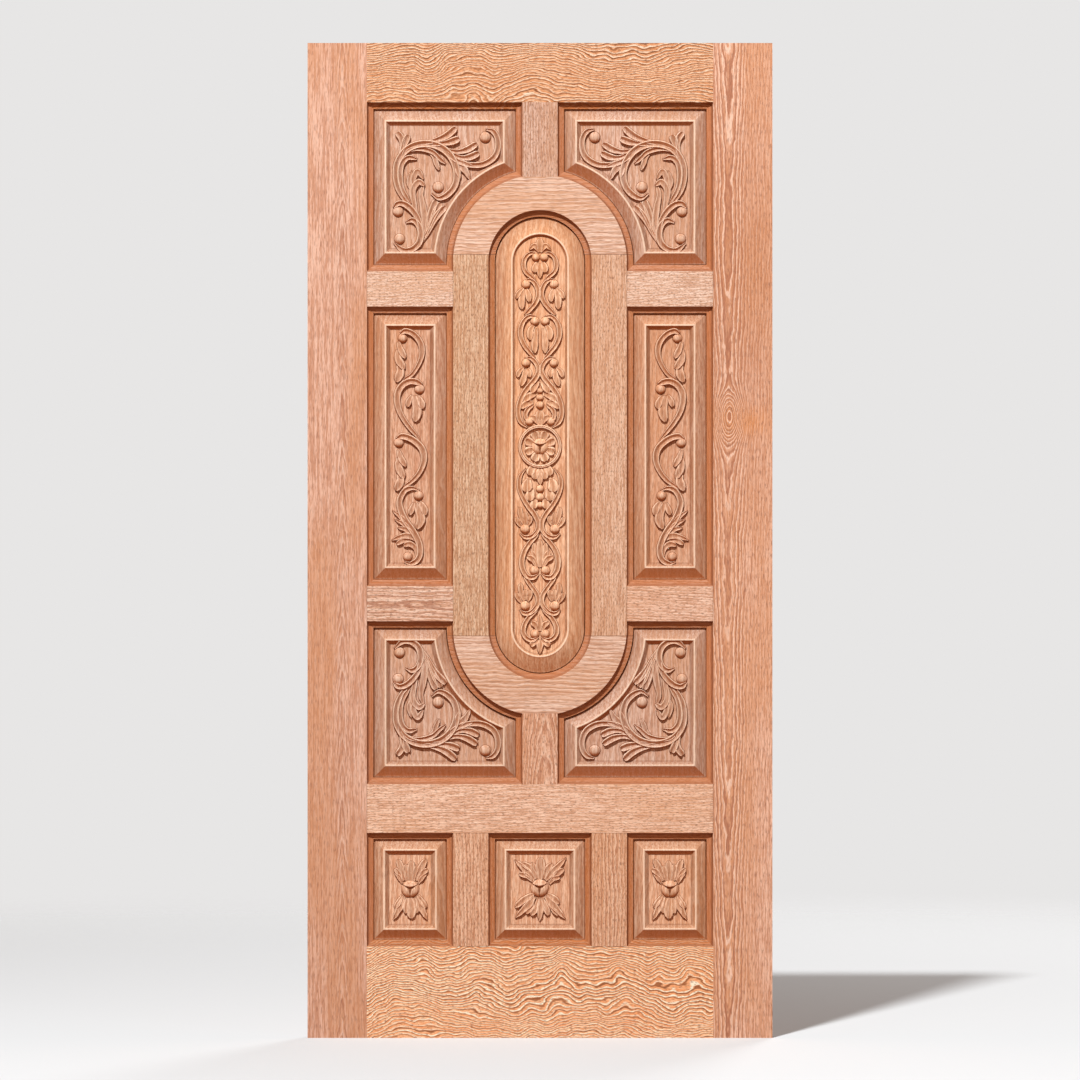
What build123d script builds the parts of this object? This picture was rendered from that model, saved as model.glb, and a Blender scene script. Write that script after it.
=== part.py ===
from build123d import *

import os
from math import pi, sin, sqrt

# A carved wooden door leaf of frame and panel work. Two stiles and three full-width rails
# carry a stadium-shaped ring of four pieces, with short rails and mullions between the ring
# and the frame. Ten raised panels float in the frame's grooves. X runs to the right as the
# carved face is seen, Z is up, the carved face looks along -Y and the origin is at the middle
# of the foot. All sizes are millimetres.

os.makedirs("parts", exist_ok=True)

# The leaf
leaf_width = 997.0
leaf_height = 2134.0
leaf_thickness = 40.0

# Widths of the frame members' flat faces
stile_width = 127.0
top_rail_width = 127.0
cross_rail_width = 104.0
bottom_rail_width = 196.0
side_rail_width = 75.0
mullion_width = 75.0

# Heights of the openings between the rails
foot_opening_height = 244.0
lower_opening_height = 350.0
upper_opening_height = 363.0

# The ring round the centre panel
ring_inner_radius = 111.0
ring_width = 75.0
head_centre_rise = 21.0
foot_centre_drop = 16.0
arch_joint_lift = 16.0

# Moulding along the edge of every opening
moulding_width = 14.0
moulding_steep_run = 3.5
moulding_steep_depth = 7.5
moulding_depth = 9.5

# Grooves for the panels
groove_inset = 2.0
groove_clearance = 0.15

# Section of a raised panel, as insets from the opening's edge and depths below the face
tongue_thickness = 12.0
tongue_inset = 4.0
bevel_gap = 0.5
rim_inset = 36.0
rim_depth = 3.0
rim_width = 5.5
slope_width = 8.5
ground_depth = 9.5

# Carving, and the gaps between it and the rims of its panels, at the sides and at the ends
carving_height = 5.5
boss_height = 6.0
boss_side_count = 6
corner_side_gap = 11.5
corner_end_gap = 4.5
tall_side_gap = 15.0
tall_end_gap = 4.5
centre_side_gap = 19.5
centre_end_gap = 43.0
foot_side_gap = 18.0
foot_end_gap = 16.5
rosette_rise = -3.0
rosette_radius = 44.0
rosette_ring_width = 6.5
rosette_side_count = 10
petal_count = 8
petal_circle_radius = 25.0
petal_radius = 9.0
petal_side_count = 4
knob_radius = 18.0

# Mortise and tenon joints
tenon_thickness = 12.0
tenon_shoulder = 12.0
tenon_haunch = 32.0
long_tenon = 80.0
short_tenon = 40.0
ring_tenon = 30.0
mortise_clearance = 0.1
mortise_end_gap = 2.0

# Lines and levels that follow from the sizes above
half_leaf = leaf_width / 2
face_plane_offset = leaf_thickness / 2
opening_edge = half_leaf - stile_width
half_mullion = mullion_width / 2
ring_outer_radius = ring_inner_radius + ring_width
foot_top = bottom_rail_width + foot_opening_height
lower_base = foot_top + cross_rail_width
lower_top = lower_base + lower_opening_height
side_base = lower_top + side_rail_width
upper_top = leaf_height - top_rail_width
upper_base = upper_top - upper_opening_height
side_top = upper_base - side_rail_width
head_centre = upper_base + head_centre_rise
foot_centre = lower_top - foot_centre_drop
head_joint = head_centre + arch_joint_lift
foot_joint = foot_centre - arch_joint_lift
tongue_depth = (leaf_thickness - tongue_thickness) / 2
slope_inset = rim_inset + rim_width
field_inset = slope_inset + slope_width

# Each mullion's shoulder sits on a flat cut across the top or bottom of the ring, and its
# moulding is mitred into the ring's along the line between two corners of the opening
moulded_radius = ring_outer_radius + moulding_width
moulded_half_mullion = half_mullion + moulding_width
seat_rise = sqrt(ring_outer_radius**2 - half_mullion**2)
mitre_rise = sqrt(moulded_radius**2 - moulded_half_mullion**2) - seat_rise


def at_depth(depth):
    """Plane parallel to the carved face, at a depth below it, that looks out of the leaf."""
    return Plane.XZ.offset(face_plane_offset - depth)


def span(left, right, low, high, mode=Mode.ADD):
    """Rectangle between two uprights and two levels, drawn in the sketch in hand."""
    with Locations(((left + right) / 2, (low + high) / 2)):
        return Rectangle(right - left, high - low, mode=mode)


def stadium(radius):
    """The ring's outline at a radius: two half circles joined by straight sides."""
    with BuildSketch() as outline:
        with Locations((0, (head_centre + foot_centre) / 2)):
            SlotCenterToCenter(head_centre - foot_centre, 2 * radius, rotation=90)
    return outline.sketch


def block(bounds, near_depth, far_depth, side_step=0.0, end_step=0.0):
    """Block between two depths whose sides and ends step inward on the way to the back."""
    left, right, low, high = bounds
    width = right - left
    height = high - low
    depth = far_depth - near_depth
    with Locations(((left + right) / 2, near_depth + depth / 2 - face_plane_offset, (low + high) / 2)):
        Wedge(width, depth, height, side_step, end_step, width - side_step, height - end_step)


def half_round(base_radius, tip_radius, length):
    """Half of a round bar, or of a tapered one."""
    if base_radius == tip_radius:
        Cylinder(base_radius, length, arc_size=180, align=None)
    else:
        Cone(base_radius, tip_radius, length, arc_size=180, align=None)


def stadium_block(near_radius, near_depth, far_radius, far_depth):
    """Solid between two depths with the ring's outline, at one radius and then at another."""
    straight = (-near_radius, near_radius, foot_centre, head_centre)
    with BuildPart() as solid:
        block(straight, near_depth, far_depth, side_step=near_radius - far_radius)
        with Locations(Location((0, far_depth - face_plane_offset, head_centre), (90, 0, 0))):
            half_round(far_radius, near_radius, far_depth - near_depth)
        with Locations(Location((0, near_depth - face_plane_offset, foot_centre), (-90, 0, 0))):
            half_round(near_radius, far_radius, far_depth - near_depth)
    return solid.part


class Opening:
    """Rectangular space between frame members, cut back round the ring where it meets one."""

    def __init__(self, left, right, low, high, beside_arch=False):
        self.bounds = (left, right, low, high)
        self.beside_arch = beside_arch

    def layer(self, near_inset, near_depth, far_inset, far_depth):
        """Solid that fills the opening from one inset and depth to another."""
        left, right, low, high = self.bounds
        near_bounds = (left + near_inset, right - near_inset, low + near_inset, high - near_inset)
        step = far_inset - near_inset
        near_ring = ring_outer_radius + near_inset
        far_ring = ring_outer_radius + far_inset
        with BuildPart() as solid:
            block(near_bounds, near_depth, far_depth, side_step=step, end_step=step)
            if self.beside_arch:
                add(stadium_block(near_ring, near_depth, far_ring, far_depth), mode=Mode.SUBTRACT)
        return solid.part


class CentreOpening(Opening):
    """The stadium-shaped space inside the ring."""

    def __init__(self):
        low = foot_centre - ring_inner_radius
        high = head_centre + ring_inner_radius
        super().__init__(-ring_inner_radius, ring_inner_radius, low, high)

    def layer(self, near_inset, near_depth, far_inset, far_depth):
        near_radius = ring_inner_radius - near_inset
        far_radius = ring_inner_radius - far_inset
        return stadium_block(near_radius, near_depth, far_radius, far_depth)


upper_left = Opening(-opening_edge, -half_mullion, upper_base, upper_top, beside_arch=True)
lower_left = Opening(-opening_edge, -half_mullion, lower_base, lower_top, beside_arch=True)
side_left = Opening(-opening_edge, -ring_outer_radius, side_base, side_top)
foot_left = Opening(-opening_edge, -ring_outer_radius, bottom_rail_width, foot_top)
foot_centre_opening = Opening(-ring_inner_radius, ring_inner_radius, bottom_rail_width, foot_top)
centre = CentreOpening()


def moulding_cutter(opening):
    """What the moulding and the groove take out of the members round an opening."""
    groove_depth = tongue_depth - groove_clearance
    with BuildPart() as cutter:
        add(opening.layer(0, 0, moulding_steep_run, moulding_steep_depth))
        add(opening.layer(moulding_steep_run, moulding_steep_depth, moulding_width, moulding_depth))
        add(opening.layer(groove_inset, groove_depth, groove_inset, leaf_thickness - groove_depth))
    return cutter.part


cutters = {
    opening: moulding_cutter(opening)
    for opening in (upper_left, lower_left, side_left, foot_left, foot_centre_opening, centre)
}


# Joints, each as left, right, low and high
stile_face = -opening_edge
upper_side_levels = (side_top + tenon_shoulder, upper_base - tenon_shoulder)
lower_side_levels = (lower_top + tenon_shoulder, side_base - tenon_shoulder)
mullion_sides = (tenon_shoulder - half_mullion, half_mullion - tenon_shoulder)
muntin_sides = (tenon_shoulder - ring_outer_radius, -ring_inner_radius - tenon_shoulder)
long_stile_sides = (stile_face - long_tenon, stile_face)
short_stile_sides = (stile_face - short_tenon, stile_face)
ring_sides = (-ring_outer_radius, ring_tenon - ring_outer_radius)
top_rail_tenon = (*long_stile_sides, upper_top + tenon_shoulder, leaf_height - tenon_haunch)
cross_rail_tenon = (*long_stile_sides, foot_top + tenon_shoulder, lower_base - tenon_shoulder)
bottom_rail_tenon = (*long_stile_sides, tenon_haunch, bottom_rail_width - tenon_shoulder)
upper_stile_tenon = (*short_stile_sides, *upper_side_levels)
lower_stile_tenon = (*short_stile_sides, *lower_side_levels)
upper_ring_tenon = (*ring_sides, *upper_side_levels)
lower_ring_tenon = (*ring_sides, *lower_side_levels)
head_seat = head_centre + seat_rise
foot_seat = foot_centre - seat_rise
top_mullion_tenon = (*mullion_sides, upper_top, upper_top + short_tenon)
head_seat_tenon = (*mullion_sides, head_seat - ring_tenon, head_seat)
foot_seat_tenon = (*mullion_sides, foot_seat, foot_seat + ring_tenon)
bottom_mullion_tenon = (*mullion_sides, lower_base - short_tenon, lower_base)
muntin_head_tenon = (*muntin_sides, head_joint, head_joint + ring_tenon)
muntin_foot_tenon = (*muntin_sides, foot_joint - ring_tenon, foot_joint)
foot_mullion_top_tenon = (*muntin_sides, foot_top, foot_top + short_tenon)
foot_mullion_base_tenon = (*muntin_sides, bottom_rail_width - short_tenon, bottom_rail_width)


def edge_strip(start, end, inward):
    """Room for the moulding beside an opening, mitred at both ends, in the sketch in hand."""
    start = Vector(*start)
    end = Vector(*end)
    along = (end - start).normalized() * moulding_width
    across = Vector(*inward) * moulding_width
    with BuildLine() as strip:
        Polyline(start, start + along + across, end - along + across, end, close=True)
    make_face(strip.edges())


def mullion_zone(seat, end):
    """Zone of a mullion from its flat seat on the ring to a rail, with its mitred moulding."""
    up = 1 if end > seat else -1
    with BuildSketch() as zone:
        with BuildLine():
            Polyline(
                (0, seat),
                (-half_mullion, seat),
                (-moulded_half_mullion, seat + up * mitre_rise),
                (-moulded_half_mullion, end - up * moulding_width),
                (-half_mullion, end),
                (0, end),
            )
            mirror(about=Plane.YZ)
        make_face()
    return zone.sketch


def side_rail_zone(low, high):
    """Zone of a short rail between the left stile and the ring, moulded above and below."""
    with BuildSketch() as zone:
        span(stile_face, -ring_outer_radius, low, high)
        edge_strip((stile_face, high), (-ring_outer_radius, high), (0, 1))
        edge_strip((stile_face, low), (-ring_outer_radius, low), (0, -1))
    return zone.sketch


def ring_zone(low, high):
    """Zone of the ring, with its mouldings inside and out, between two levels."""
    with BuildSketch() as zone:
        add(stadium(moulded_radius))
        add(stadium(ring_inner_radius - moulding_width), mode=Mode.SUBTRACT)
        span(-moulded_radius, moulded_radius, low, high, mode=Mode.INTERSECT)
    return zone.sketch


def cut_mouldings(*openings):
    """Cut the mouldings and grooves of some openings into the member in hand."""
    for opening in openings:
        add(cutters[opening], mode=Mode.SUBTRACT)


def tenons(*joints):
    """Add tenons to the member in hand."""
    for left, right, low, high in joints:
        with Locations(((left + right) / 2, 0, (low + high) / 2)):
            Box(right - left, tenon_thickness, high - low)


def mortises(*joints, upright=False):
    """Cut mortises in the member in hand for tenons that lie level or, if upright, stand."""
    end_gap = 2 * mortise_end_gap
    clearance = 2 * mortise_clearance
    for left, right, low, high in joints:
        width = right - left + (clearance if upright else end_gap)
        height = high - low + (end_gap if upright else clearance)
        with Locations(((left + right) / 2, 0, (low + high) / 2)):
            Box(width, tenon_thickness + clearance, height, mode=Mode.SUBTRACT)


def mirrored_half():
    """Keep the left half of the member in hand and mirror it to make the right half."""
    split(bisect_by=Plane.YZ, keep=Keep.BOTTOM)
    mirror(about=Plane.YZ)


# Stiles
with BuildPart() as hinge_stile:
    with BuildSketch(at_depth(0)):
        span(-half_leaf, stile_face, 0, leaf_height)
        for opening in (foot_left, lower_left, side_left, upper_left):
            _, _, low, high = opening.bounds
            edge_strip((stile_face, low), (stile_face, high), (1, 0))
    extrude(amount=-leaf_thickness)
    cut_mouldings(foot_left, lower_left, side_left, upper_left)
    mortises(top_rail_tenon, cross_rail_tenon, bottom_rail_tenon, upper_stile_tenon, lower_stile_tenon)

with BuildPart() as lock_stile:
    mirror(hinge_stile.part, about=Plane.YZ)

# Full-width rails
with BuildPart() as top_rail:
    with BuildSketch(at_depth(0)):
        span(stile_face, 0, upper_top, leaf_height)
        edge_strip((stile_face, upper_top), (-half_mullion, upper_top), (0, -1))
    extrude(amount=-leaf_thickness)
    cut_mouldings(upper_left)
    tenons(top_rail_tenon)
    mirrored_half()
    mortises(top_mullion_tenon, upright=True)

with BuildPart() as cross_rail:
    with BuildSketch(at_depth(0)):
        span(stile_face, 0, foot_top, lower_base)
        edge_strip((stile_face, lower_base), (-half_mullion, lower_base), (0, 1))
        edge_strip((stile_face, foot_top), (-ring_outer_radius, foot_top), (0, -1))
        edge_strip((-ring_inner_radius, foot_top), (ring_inner_radius, foot_top), (0, -1))
    extrude(amount=-leaf_thickness)
    cut_mouldings(lower_left, foot_left, foot_centre_opening)
    tenons(cross_rail_tenon)
    mortises(foot_mullion_top_tenon, upright=True)
    mirrored_half()
    mortises(bottom_mullion_tenon, upright=True)

with BuildPart() as bottom_rail:
    with BuildSketch(at_depth(0)):
        span(stile_face, 0, 0, bottom_rail_width)
        edge_strip((stile_face, bottom_rail_width), (-ring_outer_radius, bottom_rail_width), (0, 1))
        edge_strip((-ring_inner_radius, bottom_rail_width), (ring_inner_radius, bottom_rail_width), (0, 1))
    extrude(amount=-leaf_thickness)
    cut_mouldings(foot_left, foot_centre_opening)
    tenons(bottom_rail_tenon)
    mortises(foot_mullion_base_tenon, upright=True)
    mirrored_half()

# Short rails between the stiles and the ring
with BuildPart() as upper_left_rail:
    with BuildSketch(at_depth(0)):
        add(side_rail_zone(side_top, upper_base))
    extrude(amount=-leaf_thickness)
    cut_mouldings(upper_left, side_left)
    tenons(upper_stile_tenon, upper_ring_tenon)

with BuildPart() as upper_right_rail:
    mirror(upper_left_rail.part, about=Plane.YZ)

with BuildPart() as lower_left_rail:
    with BuildSketch(at_depth(0)):
        add(side_rail_zone(lower_top, side_base))
    extrude(amount=-leaf_thickness)
    cut_mouldings(lower_left, side_left)
    tenons(lower_stile_tenon, lower_ring_tenon)

with BuildPart() as lower_right_rail:
    mirror(lower_left_rail.part, about=Plane.YZ)

# The ring: two muntins between an arched head and an arched foot
with BuildPart() as left_muntin:
    with BuildSketch(at_depth(0)):
        add(ring_zone(foot_joint, head_joint))
        span(-moulded_radius, 0, foot_joint, head_joint, mode=Mode.INTERSECT)
        add(side_rail_zone(side_top, upper_base), mode=Mode.SUBTRACT)
        add(side_rail_zone(lower_top, side_base), mode=Mode.SUBTRACT)
    extrude(amount=-leaf_thickness)
    cut_mouldings(upper_left, side_left, lower_left, centre)
    mortises(upper_ring_tenon, lower_ring_tenon)
    tenons(muntin_head_tenon, muntin_foot_tenon)

with BuildPart() as right_muntin:
    mirror(left_muntin.part, about=Plane.YZ)

with BuildPart() as arch_head:
    with BuildSketch(at_depth(0)):
        add(ring_zone(head_joint, head_centre + moulded_radius))
        add(mullion_zone(head_seat, upper_top), mode=Mode.SUBTRACT)
    extrude(amount=-leaf_thickness)
    cut_mouldings(upper_left, centre)
    mortises(muntin_head_tenon, head_seat_tenon, upright=True)
    mirrored_half()

with BuildPart() as arch_foot:
    with BuildSketch(at_depth(0)):
        add(ring_zone(foot_centre - moulded_radius, foot_joint))
        add(mullion_zone(foot_seat, lower_base), mode=Mode.SUBTRACT)
    extrude(amount=-leaf_thickness)
    cut_mouldings(lower_left, centre)
    mortises(muntin_foot_tenon, foot_seat_tenon, upright=True)
    mirrored_half()

with BuildPart() as ring_arches:
    add(arch_head.part)
    add(arch_foot.part)

# Mullions above and below the ring
with BuildPart() as top_mullion:
    with BuildSketch(at_depth(0)):
        add(mullion_zone(head_seat, upper_top))
    extrude(amount=-leaf_thickness)
    cut_mouldings(upper_left)
    tenons(top_mullion_tenon, head_seat_tenon)
    mirrored_half()

with BuildPart() as bottom_mullion:
    with BuildSketch(at_depth(0)):
        add(mullion_zone(foot_seat, lower_base))
    extrude(amount=-leaf_thickness)
    cut_mouldings(lower_left)
    tenons(bottom_mullion_tenon, foot_seat_tenon)
    mirrored_half()

# Mullions between the three panels at the foot
with BuildPart() as left_foot_mullion:
    with BuildSketch(at_depth(0)):
        span(-ring_outer_radius, -ring_inner_radius, bottom_rail_width, foot_top)
        edge_strip((-ring_outer_radius, bottom_rail_width), (-ring_outer_radius, foot_top), (-1, 0))
        edge_strip((-ring_inner_radius, bottom_rail_width), (-ring_inner_radius, foot_top), (1, 0))
    extrude(amount=-leaf_thickness)
    cut_mouldings(foot_left, foot_centre_opening)
    tenons(foot_mullion_top_tenon, foot_mullion_base_tenon)

with BuildPart() as right_foot_mullion:
    mirror(left_foot_mullion.part, about=Plane.YZ)


def raised_panel(opening):
    """Panel with a tongue all round, a flat back, and a sunk field inside a raised, bevelled rim."""
    back_tongue_depth = leaf_thickness - tongue_depth
    bevel_inset = moulding_width + bevel_gap
    with BuildPart() as panel:
        add(opening.layer(tongue_inset, tongue_depth, tongue_inset, back_tongue_depth))
        add(opening.layer(rim_inset, rim_depth, bevel_inset, tongue_depth))
        add(opening.layer(slope_inset, rim_depth, field_inset, ground_depth), mode=Mode.SUBTRACT)
    return panel.part


class Motif:
    """Scrolls and bosses drawn round an origin, and fitted inside the rim of a panel."""

    def __init__(self, scrolls, bosses):
        self.scrolls = scrolls
        self.bosses = bosses
        self.origin = (0, 0)
        self.scale = (1, 1)

    def fit(self, origin, room, gaps, hangs_down=False):
        """Place the origin, and scale the drawing to the room beside and above it, less the gaps."""
        places = [place for _, _, *spine in self.scrolls for place in spine]
        scale = [
            (length - slope_inset - gap) / max(abs(place[axis]) for place in places)
            for axis, (length, gap) in enumerate(zip(room, gaps))
        ]
        self.origin = origin
        self.scale = (scale[0], -scale[1] if hangs_down else scale[1])

    def point(self, across, rise):
        return Vector(self.origin[0] + across * self.scale[0], self.origin[1] + rise * self.scale[1])

    def draw_scroll(self, width, facets, *places):
        """Scroll or leaf along a curve through some places, widest halfway and pointed at both ends."""
        spine = Spline(*[self.point(across, rise) for across, rise in places], mode=Mode.PRIVATE)
        half_width = width / 2 * sqrt(abs(self.scale[0] * self.scale[1]))
        outer = []
        inner = []
        for step in range(1, facets):
            share = step / facets
            along = spine % share
            side = Vector(-along.Y, along.X) * half_width * sin(pi * share)
            outer.append((spine @ share) + side)
            inner.insert(0, (spine @ share) - side)
        with BuildLine() as edge:
            Polyline(spine @ 0, *outer, spine @ 1, *inner, close=True)
        make_face(edge.edges())

    def draw_scrolls(self):
        for scroll in self.scrolls:
            self.draw_scroll(*scroll)

    def draw_bosses(self):
        """Round eyes of the scrolls, cut with a few flats."""
        for across, rise, radius in self.bosses:
            with Locations(self.point(across, rise)):
                RegularPolygon(radius, boss_side_count)


class CentreMotif(Motif):
    """Left half of the centre panel's carving and its mirror image, with a rosette halfway up."""

    def draw_scrolls(self):
        super().draw_scrolls()
        mirror(about=Plane.YZ)
        with Locations(self.point(0, rosette_rise)):
            RegularPolygon(rosette_radius, rosette_side_count)
            RegularPolygon(rosette_radius - rosette_ring_width, rosette_side_count, mode=Mode.SUBTRACT)
            with PolarLocations(petal_circle_radius, petal_count):
                RegularPolygon(petal_radius, petal_side_count)

    def draw_bosses(self):
        super().draw_bosses()
        mirror(about=Plane.YZ)
        with Locations(self.point(0, rosette_rise)):
            RegularPolygon(knob_radius, boss_side_count)


# Drawings of the carving. A scroll is its width, its facets and the places that it runs through.
# A boss is its place and its radius. The corner motif is drawn from the stile and from the level
# rail at the end away from the ring, and the others are drawn from the middle of their panels.
corner_motif = Motif(
    scrolls=[
        (17, 10, (116, 264), (86, 214), (61, 160), (82, 106), (130, 88),
         (177, 113), (192, 157), (172, 200), (139, 197)),
        (14, 6, (156, 95), (193, 119), (229, 136), (266, 124), (281, 84)),
        (13, 4, (58, 223), (84, 216), (108, 240), (119, 276)),
        (14, 7, (58, 302), (88, 317), (115, 292), (106, 256), (82, 259)),
        (16, 3, (108, 90), (152, 84), (180, 72), (190, 56)),
        (14, 3, (170, 100), (204, 113), (229, 105), (238, 90)),
        (15, 3, (116, 304), (130, 258), (146, 229), (160, 216)),
        (14, 3, (98, 152), (106, 196), (119, 240), (118, 300)),
    ],
    bosses=[(254, 75, 12), (150, 184, 12), (67, 237, 12), (70, 291, 12)],
)

tall_motif = Motif(
    scrolls=[
        (13, 6, (-20, 246), (14, 241), (29, 202), (16, 157), (-24, 134)),
        (13, 6, (26, 138), (-15, 131), (-29, 95), (-13, 46), (20, 10)),
        (13, 6, (-31, 18), (10, 14), (31, -28), (12, -73), (-22, -97)),
        (13, 8, (30, -93), (-15, -98), (-28, -132), (0, -178), (23, -220), (9, -252), (-12, -254)),
        (15, 3, (10, 214), (-7, 178), (-25, 139)),
        (18, 3, (10, 106), (14, 78), (8, 46)),
        (15, 3, (6, -20), (-8, -58), (-27, -95)),
        (18, 3, (14, -120), (18, -148), (12, -180)),
        (12, 3, (-36, -206), (-10, -196), (18, -204)),
    ],
    bosses=[(-18, 234, 11), (21, 121, 12), (-22, 6, 12), (18, -107, 12), (-5, -241, 10)],
)

centre_motif = CentreMotif(
    scrolls=[
        (11, 9, (-22, 418), (-35, 385), (-12, 350), (-5, 318), (-28, 284), (-42, 245), (-16, 194)),
        (11, 3, (-8, 138), (-27, 106), (-32, 78)),
        (10, 3, (-50, 66), (-42, 43), (-14, 34)),
        (11, 9, (-42, -72), (-37, -104), (-12, -148), (-6, -182),
         (-32, -214), (-44, -250), (-30, -281), (-6, -284)),
        (11, 8, (-35, -284), (-14, -312), (-7, -342), (-28, -372), (-38, -399), (-20, -420), (-2, -414)),
    ],
    bosses=[
        (-11, 401, 8), (-28, 347, 10), (-12, 266, 10), (-31, 178, 10), (-25, 49, 9),
        (-31, -180, 10), (-11, -268, 10), (-32, -345, 10), (-12, -405, 8),
    ],
)

foot_motif = Motif(
    scrolls=[
        (18, 3, (spread, 5 * up), (spread * 4, 34 * up), (spread * 9, 64 * up))
        for up in (1, -1)
        for spread in (-6, 0, 6)
    ],
    bosses=[(0, 0, knob_radius)],
)


def carve(motif):
    """Raise a fitted motif from the ground of the panel in hand."""
    for drawing, height in ((motif.draw_scrolls, carving_height), (motif.draw_bosses, boss_height)):
        with BuildSketch(at_depth(ground_depth)) as relief:
            drawing()
        extrude(relief.sketch, amount=height)


def carve_from_middle(opening, motif, side_gap, end_gap):
    """Carve a motif round the middle of an opening."""
    left, right, low, high = opening.bounds
    middle = ((left + right) / 2, (low + high) / 2)
    motif.fit(middle, ((right - left) / 2, (high - low) / 2), (side_gap, end_gap))
    carve(motif)


def carve_from_corner(opening, hangs_down):
    """Carve the corner motif from the corner of an opening that is away from the ring."""
    left, right, low, high = opening.bounds
    corner = (left, high if hangs_down else low)
    corner_motif.fit(corner, (right - left, high - low), (corner_side_gap, corner_end_gap), hangs_down)
    carve(corner_motif)


# Corner panels
with BuildPart() as upper_left_panel:
    add(raised_panel(upper_left))
    carve_from_corner(upper_left, hangs_down=True)

with BuildPart() as lower_left_panel:
    add(raised_panel(lower_left))
    carve_from_corner(lower_left, hangs_down=False)

with BuildPart() as left_corner_panels:
    add(upper_left_panel.part)
    add(lower_left_panel.part)

with BuildPart() as right_corner_panels:
    mirror(left_corner_panels.part, about=Plane.YZ)

# Side panels
with BuildPart() as left_side_panel:
    add(raised_panel(side_left))
    carve_from_middle(side_left, tall_motif, tall_side_gap, tall_end_gap)

with BuildPart() as right_side_panel:
    mirror(left_side_panel.part, about=Plane.YZ)

# Centre panel
with BuildPart() as centre_panel:
    add(raised_panel(centre))
    carve_from_middle(centre, centre_motif, centre_side_gap, centre_end_gap)

# Foot panels
with BuildPart() as left_foot_panel:
    add(raised_panel(foot_left))
    carve_from_middle(foot_left, foot_motif, foot_side_gap, foot_end_gap)

with BuildPart() as right_foot_panel:
    mirror(left_foot_panel.part, about=Plane.YZ)

with BuildPart() as centre_foot_panel:
    add(raised_panel(foot_centre_opening))
    carve_from_middle(foot_centre_opening, foot_motif, foot_side_gap, foot_end_gap)

pieces = {
    "hinge_stile": hinge_stile,
    "lock_stile": lock_stile,
    "top_rail": top_rail,
    "cross_rail": cross_rail,
    "bottom_rail": bottom_rail,
    "upper_left_rail": upper_left_rail,
    "upper_right_rail": upper_right_rail,
    "lower_left_rail": lower_left_rail,
    "lower_right_rail": lower_right_rail,
    "left_muntin": left_muntin,
    "right_muntin": right_muntin,
    "ring_arches": ring_arches,
    "top_mullion": top_mullion,
    "bottom_mullion": bottom_mullion,
    "left_foot_mullion": left_foot_mullion,
    "right_foot_mullion": right_foot_mullion,
    "left_corner_panels": left_corner_panels,
    "right_corner_panels": right_corner_panels,
    "left_side_panel": left_side_panel,
    "right_side_panel": right_side_panel,
    "centre_panel": centre_panel,
    "left_foot_panel": left_foot_panel,
    "centre_foot_panel": centre_foot_panel,
    "right_foot_panel": right_foot_panel,
}
for name, piece in pieces.items():
    piece.part.label = name
    export_step(piece.part, f"parts/{name}.step")
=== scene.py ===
import bmesh
import bpy
from math import acos, asin, cos, exp, pi, radians, sin, sqrt
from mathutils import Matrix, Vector


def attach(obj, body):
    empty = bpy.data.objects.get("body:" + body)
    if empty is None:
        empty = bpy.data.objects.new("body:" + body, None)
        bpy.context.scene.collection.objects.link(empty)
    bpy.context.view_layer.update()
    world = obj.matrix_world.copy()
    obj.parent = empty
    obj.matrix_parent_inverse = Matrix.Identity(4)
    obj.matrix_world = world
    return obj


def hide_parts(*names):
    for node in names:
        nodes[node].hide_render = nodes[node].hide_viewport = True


# A carved teak door leaf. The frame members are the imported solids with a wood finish, and the
# ten carved panels are modelled here. Lengths are millimetres unless a note says metres.

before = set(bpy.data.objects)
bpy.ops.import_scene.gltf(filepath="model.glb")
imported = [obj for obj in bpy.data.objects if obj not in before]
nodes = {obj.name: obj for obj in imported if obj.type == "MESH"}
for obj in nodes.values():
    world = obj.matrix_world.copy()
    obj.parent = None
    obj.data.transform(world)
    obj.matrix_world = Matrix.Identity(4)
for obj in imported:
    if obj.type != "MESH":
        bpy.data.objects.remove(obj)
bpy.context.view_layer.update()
scene = bpy.context.scene
scene.view_settings.view_transform = "Standard"
print("frame loaded:", len(nodes), "nodes")

mm = 0.001


def addNode(tree, kind, inputs=None, **settings):
    node = tree.nodes.new(kind)
    for key, value in settings.items():
        setattr(node, key, value)
    for key, value in (inputs or {}).items():
        if hasattr(value, "links"):
            tree.links.new(value, node.inputs[key])
        else:
            node.inputs[key].default_value = value
    return node


def maths(tree, operation, first, second=0.0, clamp=False):
    inputs = {0: first, 1: second}
    return addNode(tree, "ShaderNodeMath", inputs, operation=operation, use_clamp=clamp).outputs[0]


def total(tree, *values):  # sum of several values
    result = values[0]
    for value in values[1:]:
        result = maths(tree, "ADD", result, value)
    return result


def times(tree, first, second):
    return maths(tree, "MULTIPLY", first, second)


def stretched(tree, vector, scale):  # the vector with each axis scaled
    return addNode(tree, "ShaderNodeMapping", {"Vector": vector, "Scale": scale}).outputs[0]


def noise(tree, vector, detail=2.0, roughness=0.5):
    settings = {"Vector": vector, "Scale": 1.0, "Detail": detail, "Roughness": roughness}
    return addNode(tree, "ShaderNodeTexNoise", settings).outputs["Fac"]


def ramp(tree, value, low, high, start=0.0, end=1.0):  # smooth step from one value to another
    settings = {"Value": value, "From Min": low, "From Max": high, "To Min": start, "To Max": end}
    return addNode(tree, "ShaderNodeMapRange", settings, interpolation_type="SMOOTHSTEP").outputs[0]


def blend(tree, mask, first, second):  # colour mix
    node = addNode(tree, "ShaderNodeMix", data_type="RGBA")
    for socket, value in ((node.inputs[0], mask), (node.inputs[6], first), (node.inputs[7], second)):
        if hasattr(value, "links"):
            tree.links.new(value, socket)
        else:
            socket.default_value = value
    return node.outputs[2]


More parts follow.
